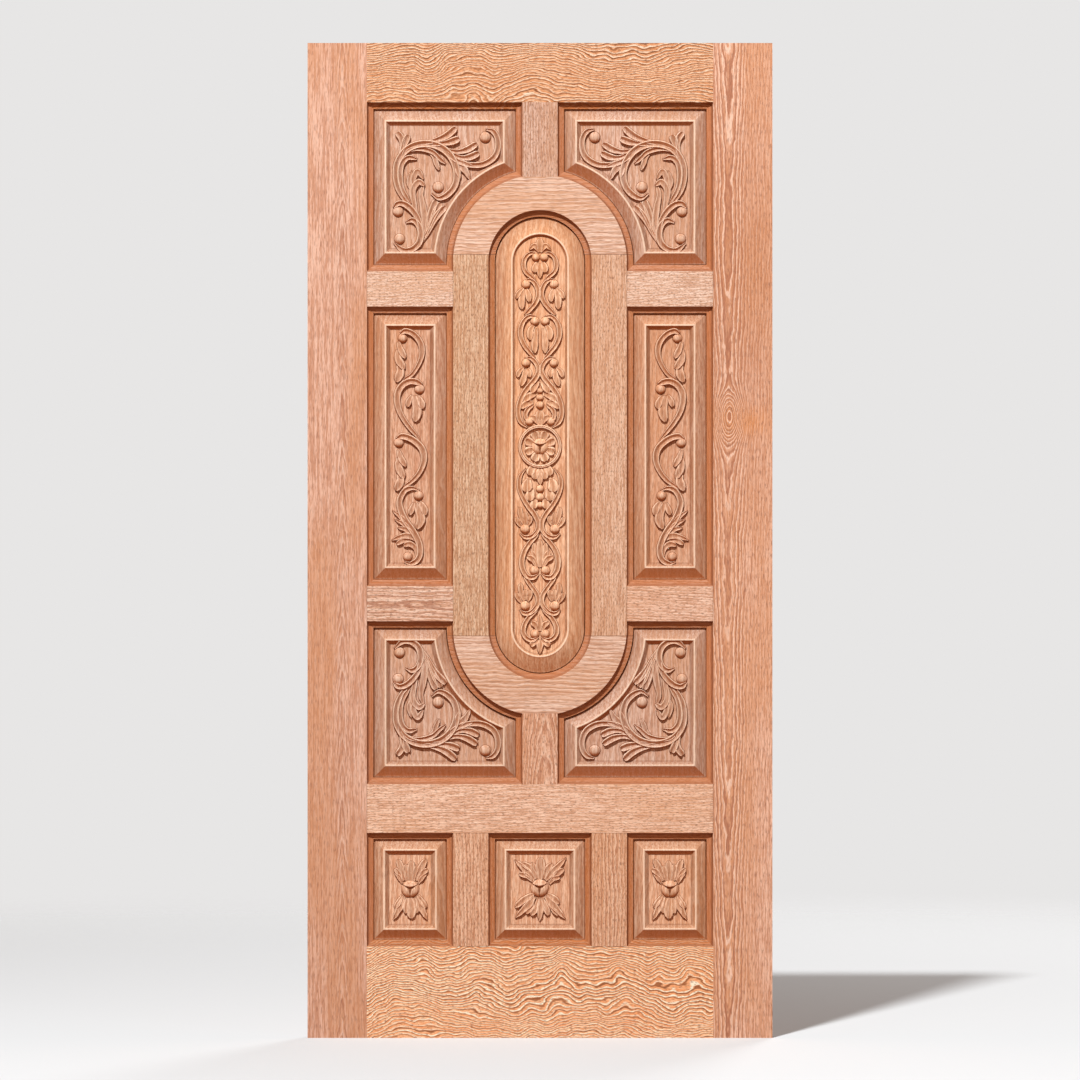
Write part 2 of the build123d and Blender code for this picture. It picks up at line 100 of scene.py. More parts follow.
def newGroup(name, inputs, outputs):
    group = bpy.data.node_groups.new(name, "ShaderNodeTree")
    for label, kind, value in inputs:
        socket = group.interface.new_socket(label, in_out="INPUT", socket_type=kind)
        if value is not None:
            socket.default_value = value
    for label in outputs:
        group.interface.new_socket(label, in_out="OUTPUT", socket_type="NodeSocketFloat")
    return group, group.nodes.new("NodeGroupInput").outputs, group.nodes.new("NodeGroupOutput").inputs


# Teak grain, shared by every wood finish. It runs along the group's Z, X is across the board, and
# the flames of a flat-sawn board stand on X = 0. The scales are repeats per metre.
grain = {
    "lean": 0.15,  # how much of the depth counts as width
    "wander": (7.0, 2.0, 2.2),
    "wave": (5.0, 2.0, 9.0),
    "ripple": (110.0, 40.0, 30.0),
    "rippleRings": 1.0,
    "streak": (310.0, 310.0, 12.0),
    "fibre": (500.0, 500.0, 44.0),
    "pore": (600.0, 600.0, 56.0),
    "patch": (9.0, 9.0, 2.0),
    "lineRise": (0.56, 0.8),  # the dark line of a growth ring, by share of the ring
    "lineFall": (0.92, 1.0),
    "paleRise": (0.0, 0.08),  # the pale band after it
    "paleFall": (0.2, 0.38),
    "poreRise": (0.56, 0.64),
    "faintest": 0.55,  # strength of the faintest line
    "flameEdge": (0.6, 1.4),  # where the flames end, as a share of their reach
}


def buildGrainGroup():
    tree, given, result = newGroup(
        "teakGrain",
        [
            ("Vector", "NodeSocketVector", None),
            ("Line Count", "NodeSocketFloat", 95.0),
            ("Flame Width", "NodeSocketFloat", 0.02),
            ("Taper", "NodeSocketFloat", 0.1),
            ("Flame Reach", "NodeSocketFloat", 1.0),
            ("Side Figure", "NodeSocketFloat", 1.0),
            ("Wander", "NodeSocketFloat", 3.0),
            ("Swirl", "NodeSocketFloat", 1.0),
            ("Wave", "NodeSocketFloat", 1.5),
            ("Knot", "NodeSocketFloat", 0.0),
            ("Shortness", "NodeSocketFloat", 1.0),
        ],
        ["Line", "Pale", "Fibre", "Pore", "Patch", "Height"],
    )
    vector = given["Vector"]
    axes = addNode(tree, "ShaderNodeSeparateXYZ", {0: vector}).outputs
    across = axes["X"]
    flame = given["Flame Width"]
    bow = total(tree, times(tree, across, across), times(tree, flame, flame))
    slant = times(tree, axes["Z"], given["Taper"])
    width = total(tree, maths(tree, "SQRT", bow), slant, times(tree, axes["Y"], grain["lean"]))
    swirl = {0: vector, "Scale": given["Swirl"]}
    swirled = addNode(tree, "ShaderNodeVectorMath", swirl, operation="SCALE").outputs[0]
    drift = times(tree, noise(tree, stretched(tree, swirled, grain["wander"]), 3.0), given["Wander"])
    wave = times(tree, noise(tree, stretched(tree, vector, grain["wave"]), 2.0), given["Wave"])
    ripple = times(tree, noise(tree, stretched(tree, vector, grain["ripple"]), 2.0), grain["rippleRings"])
    field = total(tree, times(tree, width, given["Line Count"]), drift, wave, ripple, given["Knot"])
    ring = maths(tree, "FLOOR", field)
    phase = maths(tree, "FRACT", field)
    strength = addNode(tree, "ShaderNodeTexWhiteNoise", {"W": ring}, noise_dimensions="1D").outputs["Value"]
    strength = ramp(tree, strength, 0.0, 1.0, grain["faintest"], 1.0)
    fromFlame = maths(tree, "DIVIDE", maths(tree, "ABSOLUTE", across), given["Flame Reach"])
    beside = ramp(tree, fromFlame, *grain["flameEdge"])
    lost = times(tree, beside, maths(tree, "SUBTRACT", 1.0, given["Side Figure"]))
    strength = times(tree, strength, maths(tree, "SUBTRACT", 1.0, lost))
    line = times(tree, ramp(tree, phase, *grain["lineRise"]), ramp(tree, phase, *grain["lineFall"], 1.0, 0.0))
    pale = times(tree, ramp(tree, phase, *grain["paleRise"]), ramp(tree, phase, *grain["paleFall"], 1.0, 0.0))
    drawn = times(tree, axes["Z"], given["Shortness"])
    fine = addNode(tree, "ShaderNodeCombineXYZ", {0: across, 1: axes["Y"], 2: drawn}).outputs[0]
    streak = noise(tree, stretched(tree, fine, grain["streak"]), 2.0, 0.6)
    hair = noise(tree, stretched(tree, fine, grain["fibre"]), 2.0, 0.6)
    fibre = total(tree, times(tree, streak, 0.55), times(tree, hair, 0.45))
    pore = ramp(tree, noise(tree, stretched(tree, fine, grain["pore"]), 1.0), *grain["poreRise"])
    patch = noise(tree, stretched(tree, vector, grain["patch"]), 2.0)
    line = times(tree, line, strength)
    pale = times(tree, pale, strength)
    height = maths(tree, "SUBTRACT", times(tree, hair, 0.6), times(tree, pore, 0.7))
    height = maths(tree, "SUBTRACT", height, times(tree, line, 0.6))
    made = {"Line": line, "Pale": pale, "Fibre": fibre, "Pore": pore, "Patch": patch, "Height": height}
    for label, value in made.items():
        tree.links.new(value, result[label])
    return tree


teakGrain = buildGrainGroup()

# Pinkish teak for the stiles and the ring, more orange at the top, at the foot and in the panels
finishes = {
    "stile_wood": {
        "pale": (0.84, 0.50, 0.35), "mid": (0.62, 0.30, 0.18), "deep": (0.40, 0.15, 0.08),
        "warm": (0.64, 0.27, 0.11), "light": (0.90, 0.61, 0.46), "pore": (0.26, 0.11, 0.07),
    },
    "rail_wood": {
        "pale": (0.92, 0.52, 0.29), "mid": (0.74, 0.32, 0.14), "deep": (0.30, 0.11, 0.04),
        "warm": (0.74, 0.30, 0.11), "light": (1.00, 0.80, 0.60), "pore": (0.26, 0.10, 0.05),
    },
    "ring_wood": {
        "pale": (0.86, 0.55, 0.39), "mid": (0.62, 0.32, 0.19), "deep": (0.40, 0.16, 0.09),
        "warm": (0.70, 0.34, 0.17), "light": (0.98, 0.76, 0.60), "pore": (0.26, 0.12, 0.07),
    },
    "panel_wood": {
        "pale": (0.80, 0.49, 0.34), "mid": (0.62, 0.31, 0.19), "deep": (0.42, 0.17, 0.08),
        "warm": (0.66, 0.30, 0.14), "light": (0.92, 0.66, 0.52), "pore": (0.28, 0.12, 0.07),
    },
}
# A carved surface gets painted shade in its corners, hollows and falls, a painted highlight on its
# edges, rims and dome tops, and a deeper orange painted shade where it faces down
carvedPaintedShading = {
    # painted shade colour for corners, hollows and the foot of each stroke
    "corner": (0.18, 0.05, 0.012, 1),
    "paintedCornerShadeShare": 1.0,
    # painted highlight colour for raised edges and rims
    "edge": (1.0, 0.84, 0.66, 1),
    "paintedEdgeHighlightShare": 0.65,
    # painted shade colour for faces that face down
    "paintedDownShade": (0.48, 0.14, 0.035, 1),
    "paintedDownShadeShare": 0.7,
    "paintedDownShadeFrom": (0.1, 0.5),  # how far a surface faces down
}
# The frame members get a deeper orange painted shade on their moulded edges, and the darkest
# painted shade on the steep part of them. Depths are in metres, on the leaf's Y axis.
mouldingPaintedShade = [
    {"colour": (0.44, 0.135, 0.035, 1), "share": 0.75, "from": -0.0198, "to": -0.0095},
    {"colour": (0.16, 0.06, 0.03, 1), "share": 0.45, "from": -0.0198, "to": -0.0128},
]
mouldedEdge = {"softness": 0.001, "acrossFrom": (0.47, 0.49), "middle": 1.067, "upFrom": (1.03, 1.05)}
joint = {"colour": (0.16, 0.07, 0.04, 1), "width": 0.0011}  # metres


def knotMask(tree, place, knot):  # 1 at the heart of a knot or a glow, falling to 0 round it
    axes = addNode(tree, "ShaderNodeSeparateXYZ", {0: place}).outputs
    across = maths(tree, "DIVIDE", maths(tree, "SUBTRACT", axes["X"], knot["x"]), knot["halfWidth"])
    rise = maths(tree, "DIVIDE", maths(tree, "SUBTRACT", axes["Z"], knot["z"]), knot["halfHeight"])
    square = total(tree, times(tree, across, across), times(tree, rise, rise))
    return maths(tree, "EXPONENT", times(tree, square, -1.0))


def endMask(tree, place, axis, middle, half):  # the thin joint line at both ends of a member
    value = addNode(tree, "ShaderNodeSeparateXYZ", {0: place}).outputs[axis]
    distance = maths(tree, "ABSOLUTE", maths(tree, "SUBTRACT", value, middle))
    return ramp(tree, distance, half - joint["width"], half - joint["width"] * 0.4)


def mouldingMask(tree, place, tint):  # 1 on the moulded edges, but not on the leaf's own edges
    axes = addNode(tree, "ShaderNodeSeparateXYZ", {0: place}).outputs
    soft = mouldedEdge["softness"]
    below = ramp(tree, axes["Y"], tint["from"], tint["from"] + soft)
    above = ramp(tree, axes["Y"], tint["to"], tint["to"] + soft, 1.0, 0.0)
    across = ramp(tree, maths(tree, "ABSOLUTE", axes["X"]), *mouldedEdge["acrossFrom"], 1.0, 0.0)
    rise = maths(tree, "ABSOLUTE", maths(tree, "SUBTRACT", axes["Z"], mouldedEdge["middle"]))
    inside = times(tree, across, ramp(tree, rise, *mouldedEdge["upFrom"], 1.0, 0.0))
    return times(tree, times(tree, below, above), inside)


# What a board has where its own entry doesn't say otherwise
plainBoard = {
    "level": False,  # grain running across the leaf
    "axis": 0.0,  # metres, where the flames stand
    "seed": 1,
    "lines": 170.0,  # growth lines per metre
    "flame": 0.02,
    "taper": 0.05,
    "reach": 1.0,
    "beside": 1.0,
    "wander": 4.0,
    "swirl": 1.0,
    "wave": 1.5,
    "figure": 0.3,
    "dashes": 0.6,
    "shortness": 2.2,
    "relief": 0.7,  # depth of the grain in millimetres
    "tint": (1, 1, 1),
    "knot": None,
    "glows": [],
    "ends": None,
    "carved": False,
}


surface = {
    "seedStep": (0.37, 0.61),  # metres between the grain of one board and the next
    "midFibre": (0.44, 0.56),
    "lightFibre": (0.33, 0.43),
    "lightShare": 0.6,
    "warmPatch": (0.4, 0.68),
    "warmShare": 0.5,
    "knotShare": 0.6,
    "smoothest": 0.54,
    "fibreRoughness": 0.25,
    "bump": 0.5,
    "gloss": 0.2,
}


def tinted(colour, tint):
    return tuple(min(part * by, 1.0) for part, by in zip(colour, tint)) + (1,)


def teak(name, slot, **given):
    board = {**plainBoard, **given}
    colours = {key: tinted(colour, board["tint"]) for key, colour in finishes[slot].items()}
    material = bpy.data.materials.new(name)
    material.use_nodes = True
    tree = material.node_tree
    shader = tree.nodes["Principled BSDF"]
    place = addNode(tree, "ShaderNodeTexCoord").outputs["Object"]
    offset = (-board["axis"],) + tuple(board["seed"] * step for step in surface["seedStep"])
    turn = (0, pi / 2 if board["level"] else 0, 0)
    turning = {"Vector": place, "Location": offset, "Rotation": turn}
    turned = addNode(tree, "ShaderNodeMapping", turning).outputs[0]
    values = {
        "Vector": turned, "Line Count": board["lines"], "Flame Width": board["flame"],
        "Taper": board["taper"], "Flame Reach": board["reach"], "Side Figure": board["beside"],
        "Wander": board["wander"], "Swirl": board["swirl"], "Wave": board["wave"],
        "Shortness": board["shortness"],
    }
    if board["knot"]:
        heart = knotMask(tree, place, board["knot"])
        values["Knot"] = times(tree, heart, board["knot"]["rings"])
    made = addNode(tree, "ShaderNodeGroup", node_tree=teakGrain)
    for label, value in values.items():
        if hasattr(value, "links"):
            tree.links.new(value, made.inputs[label])
        else:
            made.inputs[label].default_value = value
    made = made.outputs
    mid = ramp(tree, made["Fibre"], *surface["midFibre"])
    colour = blend(tree, mid, colours["pale"], colours["mid"])
    light = ramp(tree, made["Fibre"], *surface["lightFibre"], surface["lightShare"], 0.0)
    colour = blend(tree, light, colour, colours["light"])
    warm = ramp(tree, made["Patch"], *surface["warmPatch"], 0.0, surface["warmShare"])
    colour = blend(tree, warm, colour, colours["warm"])
    for glow in board["glows"]:
        colour = blend(tree, times(tree, knotMask(tree, place, glow), glow["share"]), colour, glow["colour"])
    if board["knot"]:
        colour = blend(tree, times(tree, heart, surface["knotShare"]), colour, colours["warm"])
    colour = blend(tree, times(tree, made["Pale"], board["figure"]), colour, colours["light"])
    colour = blend(tree, times(tree, made["Line"], board["figure"]), colour, colours["deep"])
    colour = blend(tree, times(tree, made["Pore"], board["dashes"]), colour, colours["pore"])
    if board["carved"]:
        # Carved panels: painted shade where the tone attribute is below 0, painted highlight where it is above
        # 0
        cut = addNode(tree, "ShaderNodeAttribute", attribute_name="cut").outputs["Fac"]
        corner = maths(tree, "MULTIPLY", cut, -carvedPaintedShading["paintedCornerShadeShare"], clamp=True)
        edge = maths(tree, "MULTIPLY", cut, carvedPaintedShading["paintedEdgeHighlightShare"], clamp=True)
        colour = blend(tree, corner, colour, carvedPaintedShading["corner"])
        colour = blend(tree, edge, colour, carvedPaintedShading["edge"])
        # painted shade, a deeper orange on faces that face down
        paintedDownShade = addNode(tree, "ShaderNodeAttribute", attribute_name="paintedDownShade").outputs["Fac"]
        paintedDownShade = ramp(tree, paintedDownShade, *carvedPaintedShading["paintedDownShadeFrom"], 0.0, carvedPaintedShading["paintedDownShadeShare"])
        colour = blend(tree, paintedDownShade, colour, carvedPaintedShading["paintedDownShade"])
    else:
        # painted shade on the moulded edges of the frame members
        for tint in mouldingPaintedShade:
            moulded = times(tree, mouldingMask(tree, place, tint), tint["share"])
            colour = blend(tree, moulded, colour, tint["colour"])
    if board["ends"]:
        ends = endMask(tree, place, "X" if board["level"] else "Z", *board["ends"])
        colour = blend(tree, ends, colour, joint["colour"])
    tree.links.new(colour, shader.inputs["Base Color"])
    rough = total(tree, surface["smoothest"], times(tree, made["Fibre"], surface["fibreRoughness"]))
    tree.links.new(rough, shader.inputs["Roughness"])
    relief = {"Strength": surface["bump"], "Distance": board["relief"] * mm, "Height": made["Height"]}
    bump = addNode(tree, "ShaderNodeBump", relief)
    tree.links.new(bump.outputs[0], shader.inputs["Normal"])
    shader.inputs["Specular IOR Level"].default_value = surface["gloss"]
    return material


# The finish of each frame member. A level board's flames stand at a height, an upright's at an X.
members = {
    "hinge_stile": dict(
        slot="stile_wood", axis=-0.424, seed=1, lines=140.0, flame=0.003, taper=0.1, reach=0.011,
        beside=0.1, wander=3.0, figure=0.55, dashes=0.4, shortness=1.0, tint=(0.9, 0.96, 1.02),
    ),
    "lock_stile": dict(
        slot="stile_wood", axis=0.404, seed=2, lines=150.0, flame=0.012, taper=-0.03, reach=0.034,
        beside=0.35, figure=0.85, dashes=0.5, shortness=1.2, tint=(0.99, 1.05, 1.08),
        glows=[
            {"x": 0.404, "z": 1.62, "halfWidth": 0.15, "halfHeight": 0.45, "share": 0.6,
             "colour": (0.47, 0.19, 0.085, 1)},
            {"x": 0.445, "z": 1.32, "halfWidth": 0.05, "halfHeight": 0.03, "share": 0.6,
             "colour": (0.68, 0.27, 0.08, 1)},
        ],
        knot={"x": 0.406, "z": 1.329, "halfWidth": 0.03, "halfHeight": 0.048, "rings": -7.0},
    ),
    "top_rail": dict(
        slot="rail_wood", level=True, axis=1.985, seed=3, lines=165.0, taper=0.04, wander=16.0,
        swirl=1.2, wave=12.0, figure=1.0, dashes=0.5, relief=2.0, tint=(0.86, 0.86, 0.86),
    ),
    "bottom_rail": dict(
        slot="rail_wood", level=True, axis=-0.1, seed=4, lines=150.0, taper=0.0, wander=10.0,
        swirl=1.1, wave=17.0, figure=1.0, dashes=0.6, relief=2.2, tint=(1.2, 1.22, 1.28),
    ),
    "cross_rail": dict(
        slot="ring_wood", level=True, axis=0.3, seed=5, taper=0.02, tint=(1.03, 1.11, 1.15),
        ends=(0.0, 0.3715),
    ),
    "upper_left_rail": dict(
        slot="ring_wood", level=True, axis=1.5, seed=6, shortness=3.2, tint=(0.96, 1.1, 1.22),
        ends=(-0.27875, 0.09275),
    ),
    "upper_right_rail": dict(
        slot="ring_wood", level=True, axis=1.5, seed=7, shortness=3.2, tint=(0.96, 1.1, 1.22),
        ends=(0.27875, 0.09275),
    ),
    "lower_left_rail": dict(
        slot="ring_wood", level=True, axis=0.93, seed=8, lines=150.0, taper=0.02, figure=0.75,
        tint=(0.9, 0.94, 0.98), ends=(-0.27875, 0.09275),
    ),
    "lower_right_rail": dict(
        slot="ring_wood", level=True, axis=1.1, seed=9, tint=(0.97, 1.03, 1.08),
        ends=(0.27875, 0.09275),
    ),
    "left_muntin": dict(
        slot="ring_wood", axis=-0.3, seed=10, taper=0.01, figure=0.25, tint=(0.83, 0.87, 0.81),
        ends=(1.2715, 0.4094),
    ),
    "right_muntin": dict(
        slot="ring_wood", axis=0.3, seed=11, taper=0.01, figure=0.25, tint=(0.88, 0.92, 0.92),
        ends=(1.2715, 0.4094),
    ),
    "ring_arches": dict(
        slot="ring_wood", level=True, axis=1.3, seed=12, lines=110.0, taper=0.02, figure=0.4,
        dashes=0.3, shortness=1.0, tint=(0.93, 1.02, 1.1),
    ),
    "top_mullion": dict(slot="ring_wood", axis=-0.2, seed=13, taper=0.01, tint=(0.8, 0.84, 0.9)),
    "bottom_mullion": dict(
        slot="ring_wood", axis=0.01, seed=14, taper=0.08, figure=0.5, tint=(0.9, 0.87, 0.85),
    ),
    "left_foot_mullion": dict(
        slot="ring_wood", axis=-0.4, seed=15, lines=120.0, taper=0.01, figure=0.5,
        tint=(0.91, 0.88, 0.82), ends=(0.318, 0.122),
    ),
    "right_foot_mullion": dict(
        slot="ring_wood", axis=0.4, seed=16, lines=120.0, taper=0.01, figure=0.5,
        tint=(0.91, 0.88, 0.82), ends=(0.318, 0.122),
    ),
}
for name, values in members.items():
    material = teak(name + "Teak", **values)
    for place in nodes[name].material_slots:
        place.material = material
print("frame members finished:", len(members))


# The openings that the panels fill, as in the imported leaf
leaf = {
    "face": -20.0, "openingEdge": 371.5, "halfMullion": 37.5, "ringOuter": 186.0, "ringInner": 111.0,
    "footLow": 196.0, "footHigh": 440.0, "lowerLow": 544.0, "lowerHigh": 894.0,
    "sideLow": 969.0, "sideHigh": 1569.0, "upperLow": 1644.0, "upperHigh": 2007.0,
    "headCentre": 1665.0, "footCentre": 878.0,
}

panel = {
    "arcSteps": 48,
    "edgeSoftness": 0.5,
    "softenFrom": 14.0,  # degrees, where an edge is softened
    "smoothBelow": 38.0,  # degrees, where an edge is shaded smooth
    "field": 14.0,  # depth of the flat margin beside the moulding
    "backDepth": 26.0,
    "ground": 9.5,
    "flamesAside": 50.0,  # from the middle of the panel
}

# Each kind of panel: how far in its raised rim stands, the rim's depth below the face, and the width
# of the fall from the rim to the carved ground
panelKinds = {
    "corner": {"rim": 39.0, "rimDepth": 2.6, "fall": 7.0},
    "side": {"rim": 39.0, "rimDepth": 2.6, "fall": 7.0},
    "foot": {"rim": 36.0, "rimDepth": 2.6, "fall": 7.5},
    "centre": {"rim": 49.5, "rimDepth": 4.4, "fall": 3.2},
}


def panelSection(kind):
    # inset from the opening's edge, depth below the face, and tone from -1, painted shade in corners and
    # on falls, to 1, painted highlight on the rim, from the tongue in to the ground
    spec = panelKinds[kind]
    rim, top, low = spec["rim"], spec["rimDepth"], panel["ground"]
    inner = rim + 2.5
    end = inner + spec["fall"]
    return [
        (4.0, panel["field"], 0.0), (14.5, panel["field"], -1.0), (17.5, panel["field"], -0.4),
        (rim - 1.5, top + 0.9, -0.08), (rim, top, 0.8), (inner, top, 0.8), (inner + 1.0, top + 1.2, -0.3),
        (end, low - 0.5, -0.5), (end + 1.0, low, -0.6), (end + 3.0, low, 0.0),
    ]


def at(x, z, depth):
    return Vector((x, leaf["face"] + depth, z)) * mm


def rectangleOutline(left, right, low, high):
    def outline(inset):
        l, r, b, t = left + inset, right - inset, low + inset, high - inset
        return [(l, b), (r, b), (r, t), (l, t)]
    return outline


def cornerOutline(ringLevel, nearLevel, farLevel):
    # cut back round the ring: an upper panel stands above its head, and a lower one hangs below its foot
    up = 1 if farLevel > nearLevel else -1

    def outline(inset):
        radius = leaf["ringOuter"] + inset
        left = inset - leaf["openingEdge"]
        right = -leaf["halfMullion"] - inset
        base = up * (nearLevel - ringLevel) + inset
        top = up * (farLevel - ringLevel) - inset
        start = pi - asin(max(base, 0.0) / radius)
        end = acos(right / radius)
        points = [(left, base), (radius * cos(start), base)]
        for step in range(1, panel["arcSteps"] + 1):
            angle = start + (end - start) * step / panel["arcSteps"]
            points.append((radius * cos(angle), radius * sin(angle)))
        points += [(right, top), (left, top)]
        return [(x, ringLevel + up * rise) for x, rise in points]
    return outline


def stadiumOutline(radius, low, high):
    def outline(inset):
        reach = radius - inset
        turns = [pi * step / panel["arcSteps"] for step in range(panel["arcSteps"] + 1)]
        head = [(reach * cos(turn), high + reach * sin(turn)) for turn in turns]
        foot = [(-reach * cos(turn), low - reach * sin(turn)) for turn in turns]
        return head + foot
    return outline


def panelBody(kind, outline, hand):
    # a flat face is inset step by step, and each new ring is moved to its place in the section
    bm = bmesh.new()
    bmesh.ops.create_circle(bm, cap_ends=True, segments=len(outline(0)), radius=1.0)
    face = bm.faces[:][0]
    # tone on each vertex: painted shade below 0, painted highlight above 0
    cut = bm.verts.layers.float.new("cut")

    def settle(inset, depth, tone):
        for loop, (x, z) in zip(face.loops, outline(inset)):
            loop.vert.co = at(hand * x, z, depth)
            loop.vert[cut] = tone

    section = panelSection(kind)
    settle(*section[0])
    tongueEdge = list(face.edges)
    for inset, depth, tone in section[1:]:
        bmesh.ops.inset_individual(bm, faces=[face], thickness=0.0001, use_even_offset=False)
        settle(inset, depth, tone)
    wall = bmesh.ops.extrude_edge_only(bm, edges=tongueEdge)["geom"]
    for item in wall:
        if isinstance(item, bmesh.types.BMVert):
            item.co.y = (leaf["face"] + panel["backDepth"]) * mm
            item[cut] = 0.0
    bmesh.ops.edgeloop_fill(bm, edges=[item for item in wall if isinstance(item, bmesh.types.BMEdge)])
    bmesh.ops.recalc_face_normals(bm, faces=bm.faces[:])
    sharp = [edge for edge in bm.edges if edge.calc_face_angle(0) > radians(panel["softenFrom"])]
    bmesh.ops.bevel(
        bm, geom=sharp, offset=panel["edgeSoftness"] * mm, segments=2, profile=0.5, affect="EDGES",
        material=-1, clamp_overlap=True,
    )
    return bm


# Carving: strokes along curves, domed eyes, cut knobs and a rosette
carving = {
    "station": 2.4,  # spacing of the sections along a stroke
    "sunk": 1.5,  # how far each stroke runs below the ground
    "flange": 1.6,  # width of the ground round each stroke where its painted shade fades out
    "flangeRise": 0.12,
    "footRise": 0.3,
    "ridge": 0.74,  # where a stroke is highest, as a share of its half width
    "shoulder": 0.62,  # height of its edge, as a share of the ridge
    "domeHeight": 6.4,
    "knobHeight": 7.2,
    "knobCut": 0.55,  # depth of the three-way cut, as a share of the knob's height
    "knobCutWidth": 0.2,
    "knobCutReach": 0.84,
    # painted shade in the knob's three-way cut
    "knobCutPaintedShade": 1.2,
    "paintedTopHighlightFrom": 0.8,  # where the painted highlight on the top of a dome starts
    # strength of the painted highlight on a dome's top
    "paintedTopHighlight": 0.25,
}

# Rows across a stroke from its middle out: share of the half width, and tone, which is painted shade
# below 0 and painted highlight above 0. The last two are the foot of its wall, in the darkest painted
# shade, and the flange on the ground where that painted shade fades out.
acrossRows = [
    (0.0, -0.45), (0.3, -0.35), (0.54, 0.0), (0.74, 0.8), (0.88, 0.2), (0.98, -0.3), (1.0, -1.0), (1.0, 0.0),
]

# Width and height along each kind of stroke, as (share of its length, share of the full width,
# share of the full height), how deep the hollow down its middle is, and how strong its painted shade
# and painted highlight are
strokeKinds = {
    "scroll": {
        "run": [(0, 0.3, 0.5), (0.14, 0.8, 0.85), (0.5, 1.0, 1.0), (0.86, 0.85, 0.95), (1, 0.3, 0.6)],
        "hollow": 0.5,
        "paintedShadingStrength": 1.0,
    },
    "tail": {
        "run": [(0, 0.5, 0.8), (0.1, 0.95, 1.0), (0.4, 1.0, 1.0), (0.75, 0.7, 0.85), (1, 0.2, 0.5)],
        "hollow": 0.45,
        "paintedShadingStrength": 0.9,
    },
    "stem": {
        "run": [(0, 0.5, 0.5), (0.4, 1.0, 0.9), (0.8, 0.7, 0.8), (1, 0.3, 0.4)],
        "hollow": 0.3,
        "paintedShadingStrength": 0.6,
    },
    "lobe": {
        "run": [(0, 0.45, 0.45), (0.3, 0.8, 0.7), (0.66, 1.0, 1.0), (0.88, 0.82, 1.0), (1, 0.3, 0.8)],
        "hollow": 0.28,
        "paintedShadingStrength": 0.65,
    },
    "feather": {
        "run": [(0, 0.35, 0.5), (0.35, 0.62, 0.8), (0.75, 1.0, 1.0), (0.93, 0.95, 1.0), (1, 0.6, 0.9)],
        "hollow": 0.5,
        "paintedShadingStrength": 0.9,
    },
    "tip": {
        "run": [(0, 0.4, 0.45), (0.4, 1.0, 0.9), (0.8, 0.62, 0.95), (1, 0.1, 0.6)],
        "hollow": 0.3,
        "paintedShadingStrength": 0.65,
    },
    "petal": {
        "run": [(0, 0.55, 0.5), (0.45, 0.9, 0.7), (0.72, 1.0, 0.95), (0.9, 0.85, 1.0), (1, 0.42, 0.9)],
        "hollow": 0.5,
        "paintedShadingStrength": 1.0,
    },
}


def curvePoint(places, share):  # smooth curve through the places, by share of its spans
    spans = len(places) - 1
    position = min(max(share, 0.0), 1.0) * spans
    index = min(int(position), spans - 1)
    t = position - index
    p1, p2 = places[index], places[index + 1]
    p0 = places[index - 1] if index > 0 else p1 * 2 - p2
    p3 = places[index + 2] if index + 2 <= spans else p2 * 2 - p1
    bend = (2 * p0 - 5 * p1 + 4 * p2 - p3) * t**2
    return 0.5 * (2 * p1 + (p2 - p0) * t + bend + (3 * p1 - p0 - 3 * p2 + p3) * t**3)


def along(run, share):
    for (s0, w0, h0), (s1, w1, h1) in zip(run, run[1:]):
        if share <= s1:
            t = (share - s0) / (s1 - s0)
            t = t * t * (3 - 2 * t)
            return w0 + (w1 - w0) * t, h0 + (h1 - h0) * t
    return run[-1][1:]


def sectionHeight(u, hollow):  # height across a stroke, u from 0 in its middle to 1 at its edge
    ridge = carving["ridge"]
    if u < ridge:
        return 1 - hollow * (1 - (u / ridge) ** 2) ** 2
    return 1 - (1 - carving["shoulder"]) * ((u - ridge) / (1 - ridge)) ** 2


def addStroke(bm, fit, kind, width, height, places):
    cut = bm.verts.layers.float["cut"]
    spec = strokeKinds[kind]
    points = [Vector(fit(*place)) for place in places]
    length = sum((b - a).length for a, b in zip(points, points[1:]))
    steps = max(8, int(length / carving["station"])) + 4
    rows = len(acrossRows) - 1
    made = bmesh.ops.create_grid(bm, x_segments=steps, y_segments=2 * rows, size=1.0)["verts"]
    for vert in made:
        step = round((vert.co.x + 1) / 2 * steps)
        row = round(vert.co.y * rows)
        fromEnd = min(step, steps - step)  # 0 beyond the end, 1 at its foot, 2 on the stroke
        share = min(max((step - 2) / (steps - 4), 0.0), 1.0)
        centre = curvePoint(points, share)
        ahead = (curvePoint(points, share + 0.01) - curvePoint(points, share - 0.01)).normalized()
        side = Vector((-ahead.y, ahead.x)) * (1 if row > 0 else -1)
        wide, tall = along(spec["run"], share)
        u, tone = acrossRows[abs(row)]
        tone *= spec["paintedShadingStrength"]
        reach = u * wide * width / 2
        rise = height * tall * sectionHeight(u, spec["hollow"])
        # painted shade: -1 at the foot of the wall, fading to 0 at the flange's edge
        if fromEnd == 0 or abs(row) == rows:
            rise, tone = carving["flangeRise"], 0.0
        elif fromEnd == 1 or abs(row) == rows - 1:
            rise, tone = carving["footRise"], -1.0
        if abs(row) == rows:
            reach += carving["flange"]
        flat = centre + side * reach
        if fromEnd == 0:
            flat += ahead * (carving["flange"] if step else -carving["flange"])
        vert.co = at(flat.x, flat.y, panel["ground"] - rise)
        vert[cut] = tone
    rim = {edge for vert in made for edge in vert.link_edges if edge.is_boundary}
    skirt = bmesh.ops.extrude_edge_only(bm, edges=list(rim))["geom"]
    for item in skirt:
        if isinstance(item, bmesh.types.BMVert):
            item.co.y = (leaf["face"] + panel["ground"] + carving["sunk"]) * mm
    bmesh.ops.edgeloop_fill(bm, edges=[item for item in skirt if isinstance(item, bmesh.types.BMEdge)])


